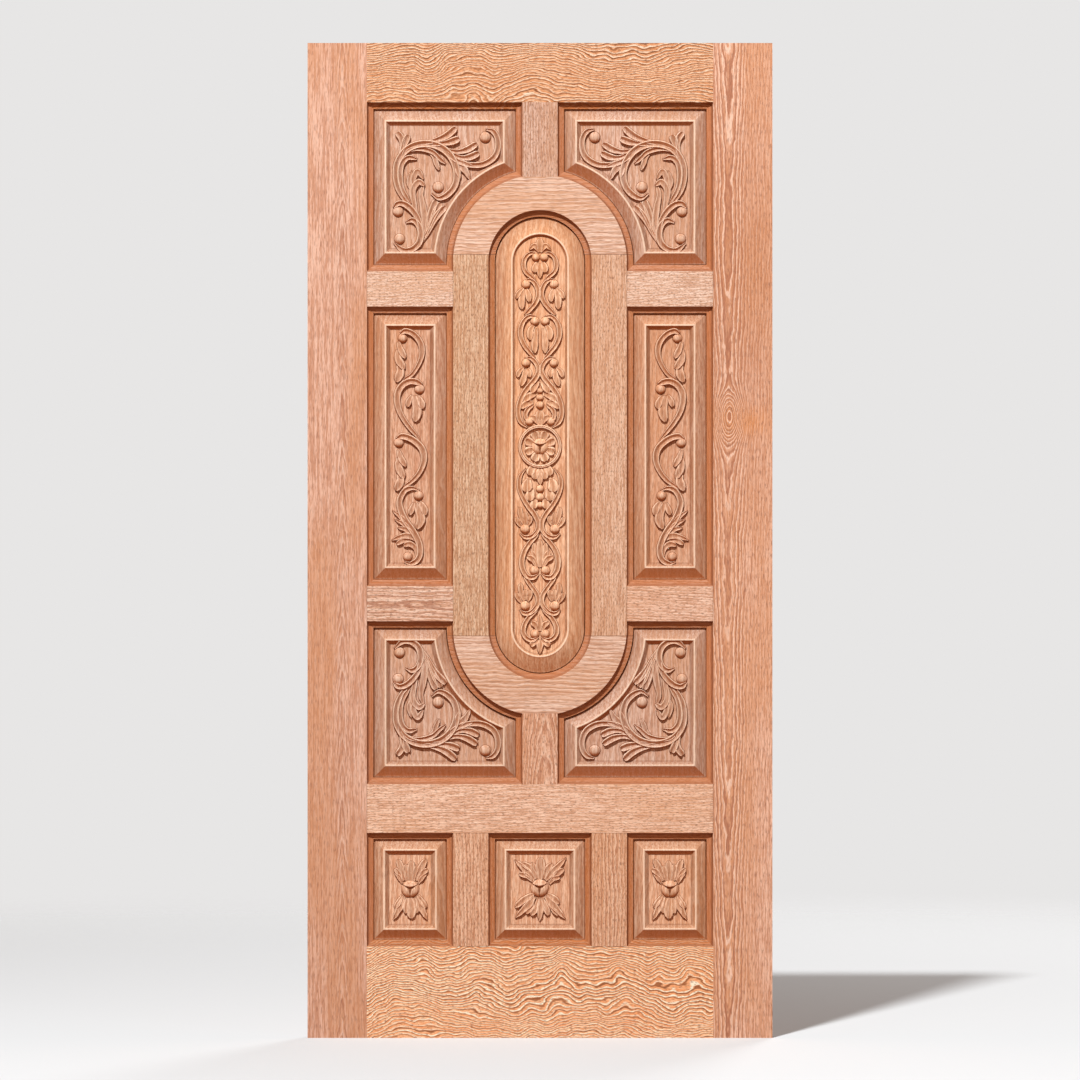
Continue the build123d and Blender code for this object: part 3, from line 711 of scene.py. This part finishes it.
def knobCut(across, rise):  # 1 along the three cuts of a knob, falling to 0 beside them
    deepest = 0.0
    for turn in (pi / 6, pi * 5 / 6, pi * 3 / 2):
        forward = across * cos(turn) + rise * sin(turn)
        aside = rise * cos(turn) - across * sin(turn)
        half = carving["knobCutWidth"] * max(1 - forward / carving["knobCutReach"], 0.02)
        if forward > -0.1:
            deepest = max(deepest, exp(-((aside / half) ** 4)))
    return deepest


def addDome(bm, fit, x, z, radius, knob=False):  # half a ball, or a knob with a three-way cut
    cut = bm.verts.layers.float["cut"]
    px, pz = fit(x, z)
    levels = 40 if knob else 14
    segments = 72 if knob else 24
    height = carving["knobHeight"] if knob else carving["domeHeight"]
    made = bmesh.ops.create_uvsphere(bm, u_segments=segments, v_segments=levels, radius=1.0)["verts"]
    for vert in made:
        across, rise, out = vert.co
        level = round(asin(max(-1.0, min(out, 1.0))) / (pi / levels))
        reach = radius
        lift = out * height
        # painted highlight on the top of a dome
        tone = carving["paintedTopHighlight"] if out > carving["paintedTopHighlightFrom"] else 0.0
        if level < -1:
            lift = -carving["sunk"]
        elif level == -1:
            reach = (radius + carving["flange"]) / sqrt(across**2 + rise**2)
            lift = carving["flangeRise"]
        elif level == 0:
            # painted shade at the foot of the dome
            lift, tone = carving["footRise"], -1.0
        elif knob:
            depth = knobCut(across, rise)
            lift *= 1 - carving["knobCut"] * depth
            # painted shade in the knob's cuts
            tone -= carving["knobCutPaintedShade"] * depth
        vert.co = at(px + across * reach, pz + rise * reach, panel["ground"] - lift)
        vert[cut] = tone


def addRing(bm, fit, x, z, profile):
    cut = bm.verts.layers.float["cut"]
    px, pz = fit(x, z)
    verts = [bm.verts.new(at(px + radius, pz, panel["ground"] - height)) for radius, height, tone in profile]
    for vert, (radius, height, tone) in zip(verts, profile):
        vert[cut] = tone
    edges = [bm.edges.new(pair) for pair in zip(verts, verts[1:] + verts[:1])]
    bmesh.ops.spin(
        bm, geom=verts + edges, cent=at(px, pz, 0), axis=(0, 1, 0), angle=2 * pi, steps=72, use_merge=True,
        use_duplicate=False,
    )


def addRosette(bm, fit, rosette):
    x, z = rosette["centre"]
    addRing(bm, fit, x, z, rosette["ring"])
    for count in range(rosette["petals"]):
        turn = 2 * pi * (count + 0.5) / rosette["petals"]
        places = [(x + reach * cos(turn), z + reach * sin(turn)) for reach in rosette["petalReach"]]
        addStroke(bm, fit, "petal", rosette["petalWidth"], rosette["petalHeight"], places)
    addDome(bm, fit, x, z, rosette["knob"], knob=True)


# Each stroke is its kind, width, height and the places on its centre line. Corner places are
# measured from the stile and from the level rail, and the others from the middle of the panel.
cornerCarving = {
    "strokes": [
        ("scroll", 18, 6.7, [(94, 225), (77, 204), (66, 180), (62, 154), (66, 129), (81, 106), (102, 93),
                             (128, 89), (154, 95), (175, 110), (189, 133), (193, 159), (187, 182), (172, 199),
                             (154, 206), (139, 196)]),
        ("scroll", 15, 6.3, [(158, 97), (180, 116), (203, 130), (229, 135), (252, 132), (272, 119), (281, 99),
                             (280, 77), (270, 62), (255, 58)]),
        ("scroll", 14, 6.0, [(94, 217), (77, 189), (71, 159), (75, 133), (89, 119), (108, 122)]),
        ("scroll", 12, 5.8, [(77, 114), (94, 102), (117, 100), (141, 107), (156, 121), (169, 132)]),
        ("lobe", 12, 5.6, [(130, 103), (143, 116), (149, 131), (155, 145)]),
        ("feather", 18, 6.7, [(109, 91), (139, 84), (169, 73), (191, 55)]),
        ("feather", 18, 6.7, [(122, 90), (156, 89), (180, 85), (198, 78)]),
        ("feather", 17, 6.5, [(162, 97), (190, 106), (214, 102), (236, 89)]),
        ("feather", 17, 6.5, [(173, 105), (199, 118), (220, 118), (240, 109)]),
        ("feather", 17, 6.5, [(68, 127), (75, 105), (82, 86), (89, 71)]),
        ("feather", 16, 6.3, [(70, 118), (75, 97), (74, 78), (65, 65)]),
        ("tip", 15, 6.0, [(190, 124), (210, 132), (229, 139)]),
        ("tip", 17, 6.3, [(191, 129), (210, 145), (222, 167)]),
        ("tip", 14, 6.0, [(191, 135), (196, 150), (201, 165)]),
        ("stem", 16, 6.0, [(117, 302), (125, 266), (121, 227), (116, 199), (122, 175)]),
        ("lobe", 15, 5.8, [(110, 257), (102, 219), (99, 189), (111, 171), (124, 179)]),
        ("lobe", 14, 5.8, [(100, 223), (96, 195), (99, 167), (109, 148), (121, 165)]),
        ("tip", 13, 5.6, [(96, 193), (91, 169), (96, 146)]),
        ("scroll", 15, 6.5, [(115, 281), (112, 255), (99, 234), (83, 220), (68, 217), (57, 226)]),
        ("scroll", 16, 6.5, [(83, 258), (98, 253), (111, 264), (116, 283), (111, 303), (96, 316), (77, 317),
                             (59, 302)]),
        ("feather", 17, 6.3, [(111, 309), (126, 283), (133, 253), (141, 229), (148, 211)]),
        ("feather", 17, 6.3, [(115, 305), (132, 277), (148, 247), (169, 224)]),
        ("feather", 16, 5.8, [(119, 296), (134, 266), (146, 238), (159, 216)]),
    ],
    "domes": [(254, 75, 12.0), (153, 182, 12.0), (67, 234, 11.6), (70, 293, 11.6)],
}

sideCarving = {
    "strokes": [
        ("tail", 14, 6.3, [(-20, 242), (-10, 247), (5, 242), (18, 229), (25, 213), (25, 194), (17, 173),
                             (4, 154), (-11, 144), (-20, 136)]),
        ("lobe", 15, 6.0, [(-25, 224), (-20, 207), (-10, 189)]),
        ("lobe", 18, 6.0, [(-27, 207), (-25, 186), (-12, 166)]),
        ("lobe", 20, 6.3, [(-25, 181), (-21, 160), (-29, 138)]),
        ("tail", 16, 6.3, [(25, 132), (13, 138), (-1, 139), (-15, 132), (-25, 118), (-28, 100), (-23, 76),
                             (-12, 55), (3, 35), (16, 20), (25, 5)]),
        ("lobe", 14, 5.8, [(5, 110), (-2, 98), (-6, 85)]),
        ("lobe", 22, 6.3, [(9, 108), (13, 89), (15, 72), (10, 53)]),
        ("lobe", 17, 6.0, [(16, 108), (23, 95), (27, 81)]),
        ("tail", 16, 6.3, [(-29, 15), (-18, 21), (-3, 18), (12, 9), (25, -5), (30, -23), (27, -42),
                             (17, -61), (3, -76), (-11, -85), (-21, -93)]),
        ("lobe", 15, 6.0, [(-25, -8), (-20, -25), (-9, -43)]),
        ("lobe", 18, 6.0, [(-26, -25), (-24, -46), (-13, -69)]),
        ("lobe", 20, 6.3, [(-24, -55), (-21, -74), (-30, -95)]),
        ("scroll", 16, 6.3, [(20, -95), (6, -90), (-8, -93), (-18, -105), (-23, -121), (-19, -140),
                             (-10, -160), (3, -178), (14, -196), (21, -216), (21, -233), (14, -246), (1, -252),
                             (-12, -248)]),
        ("lobe", 14, 5.8, [(9, -121), (4, -134), (-1, -147)]),
        ("lobe", 21, 6.3, [(12, -123), (19, -140), (23, -158), (15, -177)]),
        ("lobe", 17, 6.0, [(20, -119), (29, -132), (32, -148)]),
        ("tip", 12, 5.6, [(-5, -168), (-20, -152), (-38, -138)]),
        ("tip", 12, 5.6, [(3, -180), (-14, -167), (-33, -157)]),
        ("tip", 14, 5.6, [(11, -192), (-8, -179), (-27, -175)]),
        ("tip", 16, 5.8, [(16, -205), (-1, -193), (-20, -194), (-40, -202)]),
        ("lobe", 13, 5.6, [(1, -201), (-16, -203), (-29, -210)]),
        ("lobe", 14, 5.8, [(15, -237), (12, -220), (0, -210), (-14, -213)]),
    ],
    "domes": [(-16, 232, 10.1), (20, 123, 10.9), (-24, 8, 10.7), (18, -106, 10.3), (-5, -237, 9.9)],
}

centreCarving = {
    "mirror": True,
    "rosette": {
        "centre": (0, -3), "petals": 8, "petalReach": (14, 20, 27, 33.5), "petalWidth": 21, "petalHeight": 5.2,
        "knob": 18,
        # ring profile: radius, height and tone; the tone is painted shade below 0 and painted highlight above
        # 0
        "ring": [(38.0, -1.5, 0), (38.0, 0.12, 0), (39.2, 0.3, -1), (39.5, 3.4, -0.5), (40.6, 5.4, 0.8),
                 (42.2, 5.6, 0.5), (43.2, 4.4, -0.6), (44.2, 5.4, 0.6), (45.6, 5.0, 0.4), (46.6, 3.4, -0.2),
                 (46.9, 0.3, -1), (48.2, 0.12, 0), (48.2, -1.5, 0)],
    },
    "strokes": [
        ("tip", 14, 5.6, [(-2, 415), (-12, 428), (-23, 419)]),
        ("scroll", 11, 5.8, [(-10, 411), (-21, 411), (-31, 402), (-35, 387), (-31, 372), (-19, 361),
                            (-9, 351)]),
        ("lobe", 16, 5.6, [(-6, 392), (-10, 382), (-11, 371)]),
        ("scroll", 12, 5.8, [(-32, 353), (-19, 354), (-8, 342), (-3, 324), (-9, 306), (-21, 291), (-33, 279)]),
        ("lobe", 12, 5.6, [(-35, 337), (-45, 327), (-51, 315)]),
        ("lobe", 16, 5.8, [(-34, 335), (-39, 315), (-39, 292)]),
        ("lobe", 14, 5.6, [(-29, 335), (-25, 322), (-23, 308)]),
        ("scroll", 12, 5.8, [(-9, 275), (-23, 276), (-34, 267), (-41, 251), (-41, 232), (-33, 213), (-21, 198),
                             (-11, 187)]),
        ("lobe", 16, 5.8, [(-14, 257), (-21, 244), (-21, 226)]),
        ("lobe", 16, 5.8, [(-8, 251), (-11, 225), (-11, 198)]),
        ("scroll", 13, 5.8, [(-32, 186), (-19, 186), (-8, 175), (-3, 159), (-9, 144), (-20, 130), (-34, 112),
                             (-44, 90), (-47, 69), (-41, 49), (-27, 38)]),
        ("lobe", 12, 5.6, [(-35, 167), (-44, 158), (-49, 146)]),
        ("lobe", 15, 5.6, [(-32, 163), (-34, 146), (-41, 127)]),
        ("lobe", 12, 5.6, [(-27, 165), (-23, 157), (-23, 146)]),
        ("lobe", 18, 5.6, [(-3, 137), (-11, 127), (-19, 113)]),
        ("lobe", 18, 5.6, [(-10, 109), (-23, 105), (-36, 95)]),
        ("lobe", 16, 5.6, [(-15, 92), (-28, 89), (-41, 80)]),
        ("scroll", 11, 5.4, [(-14, 86), (-25, 78), (-31, 66), (-28, 51)]),
        ("lobe", 16, 5.8, [(-2, 45), (-10, 56), (-19, 61)]),
        ("lobe", 20, 5.8, [(-14, -45), (-19, -54), (-21, -65)]),
        ("lobe", 18, 5.8, [(-4, -49), (-9, -60), (-11, -73)]),
        ("scroll", 12, 5.8, [(-30, -50), (-42, -66), (-45, -88), (-38, -110), (-25, -132), (-12, -149),
                             (-4, -167), (-6, -184), (-18, -196), (-32, -198), (-43, -190)]),
        ("lobe", 26, 5.8, [(-24, -73), (-28, -87), (-29, -100)]),
        ("lobe", 23, 5.8, [(-16, -94), (-21, -107), (-23, -119)]),
        ("lobe", 19, 5.8, [(-9, -116), (-13, -127), (-13, -136)]),
        ("lobe", 12, 5.6, [(-34, -172), (-41, -152), (-43, -133)]),
        ("lobe", 12, 5.6, [(-39, -176), (-47, -166), (-51, -155)]),
        ("lobe", 12, 5.6, [(-31, -169), (-31, -157), (-32, -144)]),
        ("lobe", 12, 5.6, [(-26, -172), (-21, -162), (-23, -152)]),
        ("scroll", 13, 5.8, [(-2, -178), (-9, -195), (-21, -209), (-33, -227), (-39, -249), (-36, -269),
                             (-26, -283), (-13, -284), (-3, -276)]),
        ("lobe", 14, 5.6, [(-5, -260), (-12, -238), (-12, -210)]),
        ("lobe", 15, 5.8, [(-6, -262), (-15, -246), (-28, -239)]),
        ("lobe", 14, 5.6, [(-6, -251), (-14, -237), (-21, -227)]),
        ("scroll", 12, 5.8, [(-36, -270), (-29, -288), (-17, -305), (-6, -322), (-4, -338), (-12, -353),
                             (-24, -361), (-35, -361), (-43, -353)]),
        ("lobe", 12, 5.6, [(-34, -335), (-41, -315), (-41, -296)]),
        ("lobe", 12, 5.6, [(-39, -339), (-47, -328), (-51, -317)]),
        ("lobe", 12, 5.6, [(-31, -332), (-31, -322), (-32, -310)]),
        ("lobe", 12, 5.6, [(-26, -335), (-21, -322), (-23, -311)]),
        ("scroll", 12, 5.8, [(-2, -342), (-11, -357), (-24, -370), (-33, -385), (-36, -401), (-29, -414),
                             (-16, -419), (-3, -412)]),
        ("lobe", 14, 5.6, [(-3, -399), (-10, -386), (-19, -380)]),
        ("lobe", 15, 5.8, [(-3, -420), (-13, -424), (-20, -431)]),
    ],
    "single": [
        ("lobe", 18, 5.8, [(0, 414), (0, 427), (0, 443)]),
        ("tip", 18, 5.8, [(0, 390), (0, 375), (0, 358)]),
        ("lobe", 23, 6.0, [(0, 43), (0, 58), (0, 74)]),
        ("tip", 20, 6.0, [(0, -47), (0, -64), (1, -86)]),
        ("lobe", 16, 5.8, [(0, -262), (0, -234), (0, -203)]),
        ("tip", 14, 5.6, [(0, -399), (0, -382), (0, -364)]),
        ("tip", 17, 5.8, [(0, -418), (0, -431), (-1, -448)]),
    ],
    "domes": [(-9, 403, 8.8), (-30, 345, 9.7), (-11, 266, 9.7), (-30, 176, 9.4), (-23, 51, 9.2),
              (-32, -180, 10.3), (-12, -269, 9.9), (-32, -345, 10.5), (-11, -405, 9.7)],
    "beads": [(0, 116, 6.6), (0, 102, 7.7), (0, 86, 8.8), (0, -94, 8.6), (0, -112, 9.0), (0, -129, 7.7)],
}

footCarving = {
    "strokes": [
        ("lobe", 17, 5.8, [(0, 18), (2, 40), (3, 61)]),
        ("lobe", 13, 5.6, [(-7, 18), (-10, 38), (-8, 54)]),
        ("lobe", 13, 5.6, [(7, 18), (10, 35), (15, 50)]),
        ("lobe", 16, 5.8, [(-11, 20), (-18, 43), (-26, 64)]),
        ("lobe", 13, 5.6, [(-16, 18), (-24, 33), (-33, 45)]),
        ("tip", 11, 5.4, [(-17, 13), (-24, 27), (-34, 36)]),
        ("lobe", 16, 5.8, [(11, 20), (22, 43), (34, 65)]),
        ("lobe", 14, 5.6, [(17, 18), (27, 35), (38, 43)]),
        ("tip", 11, 5.4, [(18, 13), (26, 25), (36, 34)]),
        ("lobe", 22, 5.8, [(0, -18), (3, -40), (2, -62)]),
        ("lobe", 13, 5.6, [(-7, -18), (-8, -35), (-10, -51)]),
        ("lobe", 13, 5.6, [(8, -18), (13, -35), (15, -50)]),
        ("tip", 18, 5.8, [(-14, -16), (-23, -40), (-36, -65)]),
        ("lobe", 14, 5.6, [(-17, -13), (-24, -27), (-32, -40)]),
        ("tip", 18, 5.8, [(13, -16), (24, -40), (37, -65)]),
        ("lobe", 14, 5.6, [(17, -13), (26, -27), (34, -39)]),
    ],
    "knobs": [(0, 1, 18.7)],
}

middleFootCarving = {
    "strokes": [
        ("lobe", 22, 6.0, [(0, 20), (1, 44), (1, 69)]),
        ("lobe", 14, 5.6, [(-8, 23), (-12, 40), (-17, 58)]),
        ("lobe", 15, 5.8, [(8, 23), (14, 40), (26, 56)]),
        ("tip", 19, 6.0, [(-12, 20), (-29, 39), (-54, 64)]),
        ("lobe", 16, 5.8, [(-8, 27), (-21, 45), (-40, 57)]),
        ("lobe", 14, 5.6, [(-14, 17), (-28, 29), (-45, 33)]),
        ("tip", 19, 6.0, [(12, 20), (30, 40), (56, 68)]),
        ("lobe", 16, 5.8, [(17, 18), (34, 32), (51, 44)]),
        ("lobe", 12, 5.6, [(20, 12), (30, 23), (43, 26)]),
        ("tip", 19, 6.0, [(-11, -16), (-28, -36), (-53, -61)]),
        ("lobe", 16, 5.8, [(-14, -10), (-31, -20), (-53, -38)]),
        ("lobe", 12, 5.6, [(-14, -25), (-21, -42), (-30, -51)]),
        ("lobe", 15, 5.8, [(-4, -20), (-8, -40), (-19, -55)]),
        ("tip", 18, 5.8, [(0, -20), (1, -42), (-1, -68)]),
        ("lobe", 15, 5.8, [(5, -20), (12, -38), (18, -55)]),
        ("tip", 19, 6.0, [(12, -16), (30, -36), (54, -63)]),
        ("lobe", 16, 5.8, [(16, -10), (29, -19), (41, -30)]),
        ("lobe", 12, 5.6, [(18, -27), (29, -44), (39, -55)]),
    ],
    "knobs": [(-1, 3, 19.1)],
}


def carve(bm, motif, fit):
    for kind, width, height, places in motif["strokes"] + motif.get("single", []):
        addStroke(bm, fit, kind, width, height, places)
    for place in motif.get("domes", []) + motif.get("beads", []):
        addDome(bm, fit, *place)
    for place in motif.get("knobs", []):
        addDome(bm, fit, *place, knob=True)
    if "rosette" in motif:
        addRosette(bm, fit, motif["rosette"])
    if motif.get("mirror"):
        other = {"strokes": motif["strokes"], "domes": motif["domes"]}
        carve(bm, other, lambda a, b: fit(-a, b))


def finishPiece(bm, name, node, material):
    bmesh.ops.recalc_face_normals(bm, faces=bm.faces[:])
    # painted shade: how far each face faces down
    paintedDownShade = bm.faces.layers.float.new("paintedDownShade")
    for face in bm.faces:
        face[paintedDownShade] = max(0.0, -face.normal.z)
    mesh = bpy.data.meshes.new(name)
    bm.to_mesh(mesh)
    bm.free()
    mesh.materials.append(material)
    piece = bpy.data.objects.new(name, mesh)
    scene.collection.objects.link(piece)
    mesh.polygons.foreach_set("use_smooth", [True] * len(mesh.polygons))
    mesh.set_sharp_from_angle(angle=radians(panel["smoothBelow"]))
    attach(piece, "root")
    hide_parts(node)
    print("panel made:", name, len(mesh.polygons), "faces")


panelBoards = {
    "corner": dict(lines=85.0, taper=0.06, figure=0.25, dashes=0.3, shortness=1.4, tint=(0.87, 0.96, 1.04)),
    "side": dict(lines=85.0, taper=0.06, figure=0.25, dashes=0.3, shortness=1.4, tint=(0.89, 0.89, 0.86)),
    "foot": dict(lines=85.0, taper=0.06, figure=0.3, dashes=0.3, shortness=1.4, tint=(1.02, 1.05, 1.0)),
    "centre": dict(lines=85.0, taper=0.06, figure=0.3, dashes=0.25, shortness=1.2, tint=(1.05, 1.05, 0.93)),
}


def makePanel(name, node, kind, outline, motif, fit, hand, seed):
    bm = panelBody(kind, outline, hand)

    def placed(a, b):
        x, z = fit(a, b)
        return hand * x, z

    carve(bm, motif, placed)
    axis = (hand * fit(0, 0)[0] + panel["flamesAside"]) * mm
    board = panelBoards[kind]
    material = teak(name + "Teak", "panel_wood", axis=axis, seed=20 + seed, carved=True, **board)
    finishPiece(bm, name, node, material)


edge = -leaf["openingEdge"]
sideMiddle = (edge - leaf["ringOuter"]) / 2
sideLevel = (leaf["sideLow"] + leaf["sideHigh"]) / 2
footLevel = (leaf["footLow"] + leaf["footHigh"]) / 2
centreLevel = (leaf["headCentre"] + leaf["footCentre"]) / 2
lowerScale = (leaf["lowerHigh"] - leaf["lowerLow"]) / (leaf["upperHigh"] - leaf["upperLow"])
upperOutline = cornerOutline(leaf["headCentre"], leaf["upperLow"], leaf["upperHigh"])
lowerOutline = cornerOutline(leaf["footCentre"], leaf["lowerHigh"], leaf["lowerLow"])
sideOutline = rectangleOutline(edge, -leaf["ringOuter"], leaf["sideLow"], leaf["sideHigh"])
footOutline = rectangleOutline(edge, -leaf["ringOuter"], leaf["footLow"], leaf["footHigh"])
middleOutline = rectangleOutline(-leaf["ringInner"], leaf["ringInner"], leaf["footLow"], leaf["footHigh"])
centreOutline = stadiumOutline(leaf["ringInner"], leaf["footCentre"], leaf["headCentre"])

for hand, side, seed in ((1, "left", 1), (-1, "right", 2)):
    makePanel(side + "UpperPanel", side + "_corner_panels", "corner", upperOutline, cornerCarving,
              lambda a, b: (edge + a, leaf["upperHigh"] - b), hand, seed)
    makePanel(side + "LowerPanel", side + "_corner_panels", "corner", lowerOutline, cornerCarving,
              lambda a, b: (edge + a, leaf["lowerLow"] + b * lowerScale), hand, seed + 2)
    makePanel(side + "SidePanel", side + "_side_panel", "side", sideOutline, sideCarving,
              lambda a, b: (sideMiddle + a, sideLevel + b), hand, seed + 4)
    makePanel(side + "FootPanel", side + "_foot_panel", "foot", footOutline, footCarving,
              lambda a, b: (sideMiddle + a, footLevel + b), hand, seed + 6)
makePanel("centreFootPanel", "centre_foot_panel", "foot", middleOutline, middleFootCarving,
          lambda a, b: (a, footLevel + b), 1, 9)
makePanel("centrePanel", "centre_panel", "centre", centreOutline, centreCarving,
          lambda a, b: (a, centreLevel + b), 1, 10)


# Floor, room, light and camera, in metres. The leaf is lit by the bounce colour and the room's light,
# and the pale colours are what the camera and the gloss see. The floor fades into the pale room.
stage = {
    "colour": (0.63, 0.66, 0.68, 1),
    "bounce": (0.24, 0.09, 0.03, 1),
    "halfSize": 18.0,
    "fadeFrom": 2.6,
    "fadeTo": 5.5,
    "roomColour": (0.80, 0.79, 0.785, 1),
    "roomLight": (0.125, 0.06, 0.026, 1),
}


def seenMask(tree):  # 1 for what the camera and the gloss see, 0 for light on the leaf
    rays = addNode(tree, "ShaderNodeLightPath").outputs
    seen = maths(tree, "MAXIMUM", rays["Is Camera Ray"], rays["Is Glossy Ray"])
    return maths(tree, "MAXIMUM", seen, rays["Is Transmission Ray"])


def buildFloor():
    bm = bmesh.new()
    bmesh.ops.create_grid(bm, x_segments=1, y_segments=1, size=stage["halfSize"])
    mesh = bpy.data.meshes.new("floor")
    bm.to_mesh(mesh)
    bm.free()
    floor = bpy.data.objects.new("floor", mesh)
    scene.collection.objects.link(floor)
    material = bpy.data.materials.new("floorPaper")
    material.use_nodes = True
    tree = material.node_tree
    paper = tree.nodes["Principled BSDF"]
    seen = seenMask(tree)
    tree.links.new(blend(tree, seen, stage["bounce"], stage["colour"]), paper.inputs["Base Color"])
    paper.inputs["Roughness"].default_value = 0.9
    place = addNode(tree, "ShaderNodeTexCoord").outputs["Object"]
    reach = addNode(tree, "ShaderNodeVectorMath", {0: place}, operation="LENGTH").outputs["Value"]
    fade = times(tree, seen, ramp(tree, reach, stage["fadeFrom"], stage["fadeTo"]))
    clear = addNode(tree, "ShaderNodeBsdfTransparent").outputs[0]
    faded = addNode(tree, "ShaderNodeMixShader", {0: fade, 1: paper.outputs[0], 2: clear}).outputs[0]
    tree.links.new(faded, tree.nodes["Material Output"].inputs["Surface"])
    mesh.materials.append(material)


def buildRoom():
    world = bpy.data.worlds.new("paleRoom")
    world.use_nodes = True
    tree = world.node_tree
    colour = blend(tree, seenMask(tree), stage["roomLight"], stage["roomColour"])
    tree.links.new(colour, tree.nodes["Background"].inputs["Color"])
    scene.world = world


def addLamp(name, place, target, size, power):
    data = bpy.data.lights.new(name, "AREA")
    data.shape = "DISK"
    data.size = size
    data.energy = power
    lamp = bpy.data.objects.new(name, data)
    lamp.location = place
    lamp.rotation_euler = (Vector(target) - Vector(place)).to_track_quat("-Z", "Y").to_euler()
    scene.collection.objects.link(lamp)


lights = {
    "key": dict(place=(-2.4, -8.4, 11.7), target=(0, 0, 1.1), size=0.9, power=2700),
    "fill": dict(place=(6.0, -9.0, 3.0), target=(0, 0, 1.0), size=3.0, power=60),
    "back": dict(place=(3.0, 9.0, 3.4), target=(0, 0, 1.2), size=3.0, power=420),
}
buildFloor()
buildRoom()
for name, values in lights.items():
    addLamp(name, **values)

camera = {"height": 1.068, "lens": 200.0, "sensor": 36.0, "pictureWidth": 2.3163}
cameraData = bpy.data.cameras.new("camera")
cameraData.lens = camera["lens"]
cameraData.sensor_width = camera["sensor"]
cameraData.clip_end = 60.0
eye = bpy.data.objects.new("camera", cameraData)
distance = camera["pictureWidth"] * camera["lens"] / camera["sensor"]
eye.location = (0, leaf["face"] * mm - distance, camera["height"])
eye.rotation_euler = (pi / 2, 0, 0)
scene.collection.objects.link(eye)
scene.camera = eye
print("stage, light and camera ready")
